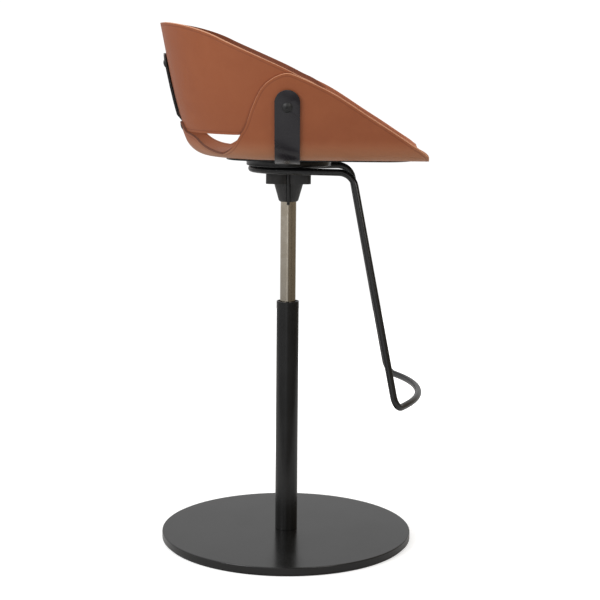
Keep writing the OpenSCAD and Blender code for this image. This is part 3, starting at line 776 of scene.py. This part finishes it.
@dataclass
class LeatherShells:
    """Bucket seat of two sheets of saddle leather: a seat with wings and tongue, and a back inside the wings.

    The outlines are in millimetres: X and height over the seat's underside, but the tongue's half width and
    height. The wall leans in by a share of the drop from the rim and tucks in further at the hem. The bend
    ends at the wall's slope, which is read at slope_at radii over the seat.
    """

    finishes: Finishes
    seat_z: float = 0.6966
    rim_r: float = 0.2265
    rim_up: float = 0.230
    hem_up: float = 0.043
    lean: float = 0.191
    tuck: float = 0.008
    bend_r: float = 0.047
    slope_at: float = 0.63
    skin: float = 0.0044
    sheet_t: float = 0.00428
    touch: float = 0.0001
    front_x: float = 0.244
    front_bow: float = 1.6
    bow_from: float = 0.1
    arm_x: float = 0.0615
    notch_half: float = 0.022
    notch_up: float = 0.033
    notch_room: float = 0.022
    ease: float = 0.0013
    step: float = 0.0036
    weld: float = 0.000005
    wall_up: float = 0.152
    edge_up: Point = (0.002, 0.15)
    over_rim: float = 0.002
    narrow: float = 0.03
    curve_steps: int = 8
    seat_rows: int = 58
    low_rows: int = 12
    high_rows: int = 40
    seat_off_edge: tuple[float, ...] = (0.0, 1.2, 2.4, 3.4, 4.4, 6.0, 8.5, 12.0, 16.5)
    back_off_edge: tuple[float, ...] = (0.0, 1.2, 2.4, 3.4, 4.4, 6.0, 9.0, 13.0)
    wing_rim: tuple[Point, ...] = (
        (245, 2.9), (241, 4), (236.5, 7.3), (231, 11.5), (223, 18.2), (206, 30), (171, 53.2), (135, 76),
        (102, 97.7), (75, 114.2), (47, 128.2), (22, 139.4), (0, 146.5), (-21, 140), (-39, 126.5), (-50, 109),
        (-60, 86), (-69, 60), (-79, 43), (-92, 22), (-103, 12.5), (-113, 7.5), (-124, 5.6),
    )
    tongue_edge: tuple[Point, ...] = (
        (0, 57.5), (38, 56.7), (46, 51), (54, 42.5), (72, 39.5), (86, 36.5), (95, 31.5), (103, 21),
        (109, 14.5), (116, 10), (126, 7), (142, 5.6),
    )
    back_rim: tuple[Point, ...] = (
        (-244, 229.2), (-226, 229.2), (-205, 228.2), (-170, 222), (-132, 210.2), (-95, 193.6), (-15, 158.8),
        (22, 140.6), (42, 131.2), (58, 120.5), (62, 115),
    )
    arm_edge: tuple[Point, ...] = ((62, 115), (60, 100), (40, 77), (0, 59), (-50, 46), (-90, 43))

    def __post_init__(self) -> None:
        """Works out the bend and reads the outlines."""
        self.rim_z = self.seat_z + self.rim_up
        self.hem_z = self.seat_z + self.hem_up
        self.shell_h = self.rim_z - self.hem_z
        start = self.seat_z + self.slope_at * self.bend_r
        deep = ((self.rim_z - start) / self.shell_h) ** 3
        self.bend_a = math.atan(self.lean + 4 * self.tuck / self.shell_h * deep)
        self.join_z = self.seat_z + self.bend_r * (1 - math.sin(self.bend_a))
        self.flat_r = self.wall_r(self.join_z) - self.bend_r * math.cos(self.bend_a)
        outlines = (self.wing_rim, self.tongue_edge, self.back_rim, self.arm_edge)
        self.wing, self.tongue, self.rim, self.arm = (reader(self.up_from_seat(line)) for line in outlines)

    def up_from_seat(self, stations: Sequence[Point]) -> list[Point]:
        """Outline's stations in millimetres over the seat, as a smooth curve in metres."""
        return [(x * MM, self.seat_z + z * MM) for x, z in curve_through(stations, self.curve_steps)]

    def back_r(self, z: float) -> float:
        """Outer radius of the back at a height."""
        drop = self.rim_z - z
        return self.rim_r - self.lean * drop - self.tuck * (drop / self.shell_h) ** 4

    def wall_r(self, z: float) -> float:
        """Outer radius of the seat's wall at a height."""
        return self.back_r(z) + self.touch + self.skin

    def seat_r(self, z: float) -> float:
        """Outer radius of the seat at a height, bend included."""
        reach = math.sqrt(max(self.bend_r ** 2 - (self.bend_r - z + self.seat_z) ** 2, 0.0))
        return self.wall_r(z) if z >= self.join_z else self.flat_r + reach

    def seat_profile(self) -> tuple[list[float], list[float], list[float]]:
        """The seat's section from its middle to above the wing.

        Returns:
            Length along the section, radius and height, at close points.
        """
        flat_steps, bend_steps, wall_steps = 12, 32, 59
        line = [(self.flat_r * k / flat_steps, self.seat_z) for k in range(flat_steps)]
        for k in range(bend_steps + 1):
            a = math.radians(-90) + (math.radians(90) - self.bend_a) * k / bend_steps
            across, up = math.cos(a), 1 + math.sin(a)
            line.append((self.flat_r + self.bend_r * across, self.seat_z + self.bend_r * up))
        wall = np.linspace(self.join_z, self.seat_z + self.wall_up, wall_steps + 1)[1:]
        line += [(self.wall_r(z), z) for z in wall]
        return list(lengths(line)), [p[0] for p in line], [p[1] for p in line]

    def around(self, radius: float, place: float, side: Side) -> Point:
        """Plan position of a radius at a station.

        Args:
            radius: The radius.
            place: The station: X in the middle where it is positive, and else minus the turn from the side
                towards the rear. The stations before the hub bow with the front edge.
            side: The side of the seat.

        Returns:
            X and Y.
        """
        if place < 0.0:
            return -radius * math.sin(-place), side.value * radius * math.cos(-place)
        share = max(0.0, (place - self.bow_from) / (self.front_x - self.bow_from))
        bow = self.front_bow - math.sqrt(self.front_bow ** 2 - radius ** 2)
        return place - share * bow, side.value * radius

    def seat_top(self, place: float) -> float:
        """Height of the seat's outline at a station.

        Args:
            place: The station.

        Returns:
            The height: the wing's, or the tongue's where that is higher.
        """
        low, high = (self.seat_z + up for up in self.edge_up)
        outlines = (self.wing,) if place >= 0.0 else (self.wing, self.tongue)
        return max(
            solved(lambda z: z - outline(self.around(self.seat_r(z), place, Side.FAR)[axis]), low, high)
            for axis, outline in enumerate(outlines)
        )

    def back_edge(self, outline: Callable[[float], float], place: float) -> float:
        """Height of one of the back's outlines at a station.

        Args:
            outline: The outline's height at an X.
            place: The station.

        Returns:
            The height.
        """
        if place >= 0.0:
            return outline(place)
        top = self.rim_z + self.over_rim
        return solved(lambda z: z - outline(-self.back_r(z) * math.sin(-place)), self.hem_z, top)

    def stations(self, front: float, top: Callable[[float], float]) -> list[float]:
        """Stations from the front of one side to the middle of the rear, closely spaced along an outline.

        Args:
            front: X of the front station.
            top: The outline's height at a station.

        Returns:
            The stations.
        """
        ahead, behind = 240, 480
        fine = [front * (1 - k / ahead) for k in range(ahead)]
        fine += [-math.pi / 2 * k / behind for k in range(behind + 1)]
        length = lengths([(*self.around(self.seat_r(top(p)), p, Side.FAR), top(p)) for p in fine])
        count = int(length[-1] / self.step)
        return [float(p) for p in np.interp(np.linspace(0.0, length[-1], count + 1), length, fine)]

    def sheet(
        self, name: str, places: Sequence[float], row: Callable[[float, int], Point], rows: int
    ) -> MeshWork:
        """Lays a grid round the seat: its stations run from the near front round the rear to the far front.

        Args:
            name: What is laid, for the log.
            places: Stations of one side, from the front to the rear.
            row: Radius and height of a row at a station.
            rows: Rows across the sheet.

        Returns:
            The mesh work, one layer thick.
        """
        whole = [(p, Side.NEAR) for p in places] + [(p, Side.FAR) for p in reversed(places[:-1])]
        work = bmesh.new()
        bmesh.ops.create_grid(work, x_segments=len(whole) - 1, y_segments=rows, size=0.5)
        work.verts.ensure_lookup_table()
        for vert in work.verts:
            place, side = whole[round((vert.co.x + 0.5) * (len(whole) - 1))]
            radius, height = row(place, round((vert.co.y + 0.5) * rows))
            vert.co = (*self.around(radius, place, side), height)
        bmesh.ops.remove_doubles(work, verts=work.verts, dist=self.weld)
        LOG.info("%s laid with %d faces", name, len(work.faces))
        return work

    def mark_rim(self, work: MeshWork) -> None:
        """Writes each point's distance from the sheet's edge, in millimetres, as an attribute.

        Args:
            work: The sheet's mesh work.
        """
        quarters = (0.0, 0.25, 0.5, 0.75)
        rim = [e.verts for e in work.edges if e.is_boundary]
        tree = search_tree([a.co.lerp(b.co, t) for a, b in rim for t in quarters])
        layer = work.verts.layers.float.new("rim_mm")
        for vert in work.verts:
            vert[layer] = min(tree.find(vert.co)[2] / MM, RIM_FAR)

    def mark_wing(self, work: MeshWork) -> None:
        """Writes how near each point is to the wing's outline, seen from the side, as an attribute.

        Args:
            work: The sheet's mesh work.
        """
        # The attribute places the painted shadow of the wings on the back.
        tree = search_tree([(x, 0.0, z) for x, z in self.up_from_seat(self.wing_rim)])
        layer = work.verts.layers.float.new("by_wing_mm")
        for vert in work.verts:
            vert[layer] = max(BY_WING - tree.find((vert.co.x, 0.0, vert.co.z))[2] / MM, 0.0)

    def thick(self, name: str, node: str, work: MeshWork, inside: Material) -> Piece:
        """Makes a shell of a sheet: its thickness, its eased cut edges and its place.

        Args:
            name: The shell's name.
            node: The CAD node that it stands for.
            work: The sheet's mesh work, with faces that point outwards.
            inside: The finish of its inner face.

        Returns:
            The piece.
        """
        piece = object_of(name, work)
        solid = piece.modifiers.new("leather_thickness", "SOLIDIFY")
        solid.thickness = self.sheet_t
        solid.offset = -1.0
        solid.use_even_offset = True
        solid.use_rim = True
        solid.material_offset_rim = 1
        solid.material_offset = 2
        eased(piece, self.ease, segments=3, angle=50.0, material=1)
        return standing_for(piece, node, "tan_leather", self.finishes.leather, self.finishes.cut_edge, inside)

    def seat(self) -> Piece:
        """The seat: flat bottom, bend, wings and tongue as one sheet.

        Returns:
            The piece.
        """
        length, radius, height = self.seat_profile()
        tops: dict[float, float] = {}

        def row(place: float, j: int) -> Point:
            """A row's place in the section, counted from the middle outwards.

            Args:
                place: The station.
                j: The row's number.

            Returns:
                Radius and height.
            """
            if place not in tops:
                tops[place] = float(np.interp(self.seat_top(place), height, length))
            s = spaced(j, self.seat_rows, 0.0, tops[place], self.seat_off_edge)
            return float(np.interp(s, length, radius)), float(np.interp(s, length, height))

        work = self.sheet("seat sheet", self.stations(self.front_x, self.seat_top), row, self.seat_rows)
        facing(work, Vector((0.1, 0.05, self.seat_z)), Vector((0, 0, -1)))
        self.mark_rim(work)
        return self.thick("leather_seat", "seat_shell", work, self.finishes.seat_inside_painted_light)

    def back(self) -> Piece:
        """The back: the wall alone, with arms inside the wings and a notch for the strap.

        Returns:
            The piece.
        """
        notch_z = self.hem_z + self.notch_up
        notch_turn = math.pi / 2 - math.asin(self.notch_half / self.back_r(self.hem_z + self.notch_up / 2))
        places = self.stations(self.arm_x, lambda place: self.back_edge(self.rim, place))
        nearest = min(range(len(places)), key=lambda i: abs(places[i] + notch_turn))
        places[nearest] = -notch_turn

        def row(place: float, j: int) -> Point:
            """A row's place, counted from the lower edge upwards.

            Args:
                place: The station.
                j: The row's number.

            Returns:
                Radius and height.
            """
            low, high = self.back_edge(self.arm, place), self.back_edge(self.rim, place)
            split = min(max(notch_z, low + self.notch_room), low + (high - low) * 0.5)
            if j <= self.low_rows:
                z = low + (split - low) * j / self.low_rows
            else:
                span = min(1.0, (high - split) / self.narrow)
                z = spaced(j - self.low_rows, self.high_rows, split, high, self.back_off_edge, span)
            return self.back_r(z), z

        work = self.sheet("back sheet", places, row, self.low_rows + self.high_rows)
        notch = [
            f for f in work.faces
            if (c := f.calc_center_median()).x < 0 and abs(c.y) < self.notch_half and c.z < notch_z
        ]
        bmesh.ops.delete(work, geom=notch, context="FACES")
        facing(work, Vector((-self.rim_r, 0, self.rim_z)), Vector((-1, 0, 0)))
        self.mark_rim(work)
        self.mark_wing(work)
        return self.thick("leather_back", "back_shell", work, self.finishes.back_inside_painted_shade)

    def build(self) -> list[Piece]:
        """Both shells."""
        return [self.seat(), self.back()]


@dataclass
class Footrest:
    """Closed rod: round the hub, down the front and across as the foot bar."""

    finishes: Finishes
    rod_d: float = 0.012
    line_z: float = 0.67275
    loop_r: float = 0.066
    knee_x: float = 0.111
    knee_y: float = 0.092
    knee_r: float = 0.030
    bar_drop: float = 0.398
    bar_x: float = 0.188
    bar_y: float = 0.162
    bar_corner_r: float = 0.022
    bar_r: float = 0.282
    bar_point: float = 0.0815
    sides: int = 32
    bend_step: float = 5.0
    least_steps: int = 6
    weld: float = 0.00002

    def corners(self) -> list[tuple[Vector, float]]:
        """Works out the corners of the rod's centre line.

        Returns:
            Each corner with its bend's radius.
        """
        reach = math.hypot(self.knee_x, self.knee_y)
        arm = math.acos(self.loop_r / reach) - math.atan2(self.knee_x, self.knee_y)
        bar_z = self.line_z - self.bar_drop
        return [
            (Vector((-self.loop_r / math.sin(arm), 0.0, self.line_z)), self.loop_r),
            (Vector((self.knee_x, self.knee_y, self.line_z)), self.knee_r),
            (Vector((self.bar_x, self.bar_y, bar_z)), self.bar_corner_r),
            (Vector((self.bar_x + self.bar_point, 0.0, bar_z)), self.bar_r),
            (Vector((self.bar_x, -self.bar_y, bar_z)), self.bar_corner_r),
            (Vector((self.knee_x, -self.knee_y, self.line_z)), self.knee_r),
        ]

    def build(self) -> list[Piece]:
        """Sweeps the rod: a ring is spun round each bend and drawn along each straight.

        Returns:
            The rod.
        """
        corners = self.corners()
        work = bmesh.new()
        ring: list[Edge] = []
        starts: list[Vector] = []
        for i, (at, bend) in enumerate(corners):
            before, after = corners[i - 1][0], corners[(i + 1) % len(corners)][0]
            into, out = (at - before).normalized(), (after - at).normalized()
            turn = into.angle(out)
            start = at - into * bend * math.tan(turn / 2)
            starts.append(start)
            inward = (out - into * into.dot(out)).normalized()
            if not ring:
                made = bmesh.ops.create_circle(
                    work, segments=self.sides, radius=self.rod_d / 2,
                    matrix=Matrix.Translation(start) @ into.to_track_quat("Z", "Y").to_matrix().to_4x4(),
                )
                ring = list({e for v in made["verts"] for e in v.link_edges})
            else:
                ring = self.drawn(work, ring, start)
            swept = bmesh.ops.spin(
                work, geom=ring, cent=start + inward * bend, axis=into.cross(inward).normalized(), angle=turn,
                steps=max(self.least_steps, round(math.degrees(turn) / self.bend_step)),
            )
            ring = [g for g in swept["geom_last"] if isinstance(g, Edge)]
        self.drawn(work, ring, starts[0])
        bmesh.ops.remove_doubles(work, verts=work.verts, dist=self.weld)
        bmesh.ops.recalc_face_normals(work, faces=work.faces)
        piece = object_of("footrest_bar", work)
        smooth(piece, angle=40.0)
        return [standing_for(piece, "footrest_rod", "powder_black", self.finishes.frame_coat)]

    def drawn(self, work: MeshWork, ring: list[Edge], to: Vector) -> list[Edge]:
        """Draws a ring straight on to a place.

        Args:
            work: The mesh work.
            ring: The ring's edges.
            to: Where the ring's centre ends.

        Returns:
            The edges of the ring at the end.
        """
        spots = {v for e in ring for v in e.verts}
        centre = sum((v.co for v in spots), Vector()) / len(spots)
        made = bmesh.ops.extrude_edge_only(work, edges=ring)["geom"]
        ends = [g for g in made if isinstance(g, bmesh.types.BMVert)]
        bmesh.ops.translate(work, verts=ends, vec=to - centre)
        return [g for g in made if isinstance(g, Edge) and g.is_boundary]


def section(inner: float, outer: float, low: float, high: float) -> list[Point]:
    """Half section of a disc or a tube, as radius and height."""
    return [(inner, low), (outer, low), (outer, high), (inner, high)]


@dataclass
class Column:
    """Base plate and column tube."""

    finishes: Finishes
    base_r: float = 0.225
    base_low: float = 0.003
    base_top: float = 0.016
    base_ease: float = 0.0012
    base_steps: int = 192
    tube_r: float = 0.020
    tube_wall: float = 0.002
    tube_top: float = 0.435
    tube_ease: float = 0.0005
    tube_steps: int = 96

    def build(self) -> list[Piece]:
        """The base plate and the tube, turned.

        Returns:
            Both pieces.
        """
        bore = self.tube_r - self.tube_wall
        disc = section(0.0, self.base_r, self.base_low, self.base_top)
        ring = section(bore, self.tube_r, self.base_top, self.tube_top)
        plate = turned("base_plate", disc, self.base_ease, self.base_steps)
        tube = turned("column_sleeve", ring, self.tube_ease, self.tube_steps)
        return [
            standing_for(plate, "base_disc", "powder_black", self.finishes.base_coat),
            standing_for(tube, "column_tube", "powder_black", self.finishes.frame_coat),
        ]


@dataclass(frozen=True)
class Eased:
    """A CAD node that is replaced by its own shape with eased edges, in one of the finishes."""

    node: str
    name: str
    width: float
    slot: str
    finish: str

    def piece(self, finishes: Finishes) -> Piece:
        """Copies the node's shape, welds it, joins its flat faces and eases its edges.

        Args:
            finishes: The stool's finishes.

        Returns:
            The piece.
        """
        flat = math.radians(0.3)
        work = bmesh.new()
        work.from_mesh(frame["nodes"][self.node].data)
        bmesh.ops.remove_doubles(work, verts=work.verts, dist=WELD)
        bmesh.ops.dissolve_limit(work, angle_limit=flat, verts=work.verts, edges=work.edges)
        piece = object_of(self.name, work)
        eased(piece, self.width)
        return standing_for(piece, self.node, self.slot, getattr(finishes, self.finish))


@dataclass
class UnderSeat:
    """Hub, disc, plate, straps, screws and lever that hold and serve the leather seat."""

    finishes: Finishes
    eases: tuple[Eased, ...] = (
        Eased("hub_casting", "hub", 0.0008, "cast_black", "casting"),
        Eased("mount_disc", "disc", 0.0007, "powder_black", "frame_coat"),
        Eased("seat_plate", "under_plate", 0.0005, "powder_black", "frame_coat"),
        Eased("side_strap", "cradle_strap", 0.0007, "powder_black", "strap_coat"),
        Eased("rear_strap", "spine_strap", 0.0007, "powder_black", "frame_coat"),
        Eased("side_screws", "cradle_screws", 0.0004, "black_fastener", "fastener"),
        Eased("rear_screw", "spine_screw", 0.0004, "black_fastener", "fastener"),
        Eased("release_lever", "lever_blade", 0.0005, "lever_plastic", "lever_coat"),
    )

    def build(self) -> list[Piece]:
        """The pieces."""
        return [node.piece(self.finishes) for node in self.eases]


@dataclass
class KeptNodes:
    """CAD nodes whose own shape is right, each with the finish of its record slot."""

    finishes: Finishes
    by_slot: tuple[tuple[str, str], ...] = (
        ("powder_black", "frame_coat"), ("cast_black", "casting"), ("black_fastener", "fastener"),
        ("tan_leather", "leather"), ("nickel_cylinder", "nickel"), ("bright_steel", "chrome"),
        ("plain_steel", "steel"), ("zinc_steel", "zinc"), ("plain_aluminium", "aluminium"),
        ("black_plastic", "black_plastic"), ("lever_plastic", "lever_coat"), ("cage_plastic", "nylon"),
        ("rubber", "rubber"), ("pad_rubber", "rubber"),
    )

    def dress(self) -> int:
        """Gives every CAD node its finish.

        Returns:
            How many nodes are dressed.
        """
        finish_of = dict(self.by_slot)
        slot_of = {s["node"]: s["material_slot"] for s in frame["record"]["subparts"]}
        for name, node in frame["nodes"].items():
            for holder in node.material_slots:
                holder.link = "OBJECT"
                holder.material = getattr(self.finishes, finish_of[slot_of[name]])
        return len(slot_of)


# The studio


@dataclass(frozen=True)
class Softbox:
    """A rectangular soft light that points at a spot."""

    name: str
    at: Spot
    aim: Spot
    size: Point
    watts: float

    def hang(self) -> None:
        """Puts the light in the scene."""
        data = bpy.data.lights.new(self.name, "AREA")
        data.shape = "RECTANGLE"
        data.size, data.size_y = self.size
        data.energy = self.watts
        lamp = bpy.data.objects.new(self.name, data)
        lamp.location = self.at
        lamp.rotation_euler = (Vector(self.aim) - Vector(self.at)).to_track_quat("-Z", "Y").to_euler()
        bpy.context.scene.collection.objects.link(lamp)


@dataclass
class Studio:
    """Pale floor, soft light, the air around and the camera at the photograph's angle.

    Yaw, pitch and roll are in radians, to the right, down and anticlockwise. The floor glows by floor_glow
    near the stool and by 1 beyond paper_reach. A range whose name ends in an axis is of that part of a ray's
    direction. The air's other numbers are its brightness, but for below and level_up, which multiply the
    room's brightness under and over the horizon.
    """

    eye: Spot = (0.043353, -2.761611, 0.883293)
    yaw: float = -0.00806
    pitch: float = 0.12583
    roll: float = 0.00860
    lens: float = 93.617
    sensor: float = 36.0
    shift_y: float = -0.09
    clip: Point = (0.05, 60.0)
    floor: Colour = (0.62, 0.62, 0.62)
    floor_worn: Colour = (0.56, 0.56, 0.56)
    floor_glow: float = 0.6
    floor_r: float = 1.5
    floor_at: Spot = (0.0, 1.02, 0.0)
    paper: Pattern = Pattern(1.6, 2.0, 0.5, tint=0.1)
    paper_reach: Point = (0.3, 0.75)
    paper_rough: float = 0.85
    paper_gloss: float = 0.1
    room: float = 0.15
    room_left: float = 0.38
    left_x: Point = (-0.5, 0.12)
    room_warm: Colour = (1.0, 0.86, 0.66)
    warm_x: Point = (-0.05, 0.3)
    warm_z: Point = (-0.3, -0.2)
    card: float = 0.3
    card_x: tuple[Point, Point] = ((-0.36, -0.28), (-0.06, 0.02))
    board: float = 0.7
    board_z: tuple[Point, Point] = ((-0.86, -0.76), (-0.36, -0.28))
    below: float = 0.1
    level_up: float = 1.8
    horizon_z: Point = (-0.3, -0.02)
    sky: float = 0.57
    behind_y: Point = (0.66, 0.9)
    backdrop: float = 1.05
    softboxes: tuple[Softbox, ...] = (
        Softbox("key", (-2.3, -2.1, 2.2), (0.0, 0.0, 0.75), (1.5, 1.5), 55.0),
        Softbox("fill", (1.9, -2.5, 2.4), (0.0, 0.0, 0.75), (1.4, 1.4), 29.0),
        Softbox("top", (0.1, 0.5, 3.2), (0.0, 0.2, 0.0), (3.4, 3.4), 40.0),
    )

    def camera(self) -> None:
        """Sets the camera up."""
        level = math.cos(self.pitch)
        ahead = Vector((math.sin(self.yaw) * level, math.cos(self.yaw) * level, -math.sin(self.pitch)))
        right = Vector((math.cos(self.yaw), -math.sin(self.yaw), 0.0))
        up = right.cross(ahead)
        turned_right = right * math.cos(self.roll) + up * math.sin(self.roll)
        turned_up = up * math.cos(self.roll) - right * math.sin(self.roll)
        data = bpy.data.cameras.new("view")
        data.sensor_fit = "HORIZONTAL"
        data.sensor_width = self.sensor
        data.lens = self.lens
        data.shift_y = self.shift_y
        data.clip_start, data.clip_end = self.clip
        camera = bpy.data.objects.new("view", data)
        axes = Matrix((turned_right, turned_up, -ahead)).transposed()
        camera.matrix_world = Matrix.Translation(self.eye) @ axes.to_4x4()
        bpy.context.scene.collection.objects.link(camera)
        bpy.context.scene.camera = camera

    def ground(self) -> None:
        """Lays the floor: a round pale sheet, not part of the stool."""
        work = bmesh.new()
        bmesh.ops.create_circle(work, cap_ends=True, segments=96, radius=self.floor_r)
        bmesh.ops.translate(work, verts=work.verts, vec=self.floor_at)
        sheet = object_of("studio_floor", work)
        r = Recipe.of("floor_paper")
        far = r.node("ShaderNodeVectorMath", {"operation": "LENGTH"}, {0: r.place}, "Value")
        lift = r.ramp(far, *self.paper_reach, self.floor_glow, 1.0)
        sheet.data.materials.append(r.finish(
            Base_Color=r.blend(r.read(self.paper) * self.paper.tint, self.floor, self.floor_worn),
            Roughness=self.paper_rough,
            Specular_IOR_Level=self.paper_gloss,
            Emission_Color=WHITE,
            Emission_Strength=r.node("ShaderNodeLightPath", out="Is Camera Ray") * lift,
        ))

    def air(self) -> None:
        """Sets the air: white for the camera, and for the pieces a dim room in front and a bright sky behind.

        The room is lighter to the left and warm to the right, with a pale upright card and a low pale board.
        """
        bpy.context.scene.world = bpy.data.worlds.new("studio_air")
        r = Recipe(bpy.context.scene.world, "Generated")
        across, along, rise = r.axis("X"), r.axis("Y"), r.axis("Z")
        left = r.ramp(across, *self.left_x, 1.0, 0.0)
        walls = self.room + left * (self.room_left - self.room) + r.band(across, *self.card_x) * self.card
        front = walls * r.ramp(rise, *self.horizon_z, self.below, self.level_up)
        front = front + r.band(rise, *self.board_z) * self.board
        behind = r.ramp(along, *self.behind_y)
        level = front * (1.0 - behind) + behind * self.sky
        warm = r.ramp(across, *self.warm_x) * (1.0 - behind) * r.ramp(rise, *self.warm_z)
        tint = r.blend(warm, WHITE, self.room_warm)
        around = r.node("ShaderNodeBackground", None, {"Color": tint, "Strength": level})
        seen = r.node("ShaderNodeBackground", None, {"Color": WHITE, "Strength": self.backdrop})
        eye = r.node("ShaderNodeLightPath", out="Is Camera Ray")
        r.closed("ShaderNodeOutputWorld", r.node("ShaderNodeMixShader", None, {0: eye, 1: around, 2: seen}))

    def build(self) -> None:
        """Sets the whole studio up."""
        self.camera()
        self.ground()
        self.air()
        for softbox in self.softboxes:
            softbox.hang()
        bpy.context.scene.view_settings.view_transform = "Standard"


def main() -> None:
    """Builds the stool's looks and the studio, in order."""
    logging.basicConfig(level=logging.INFO, format="%(name)s: %(message)s")
    Studio().build()
    finishes = Finishes()
    for assembly in (LeatherShells(finishes), Footrest(finishes), Column(finishes), UnderSeat(finishes)):
        pieces = assembly.build()
        LOG.info("%s: %s", type(assembly).__name__, ", ".join(piece.name for piece in pieces))
    LOG.info("%d nodes dressed", KeptNodes(finishes).dress())


if __name__ == "__main__":
    main()
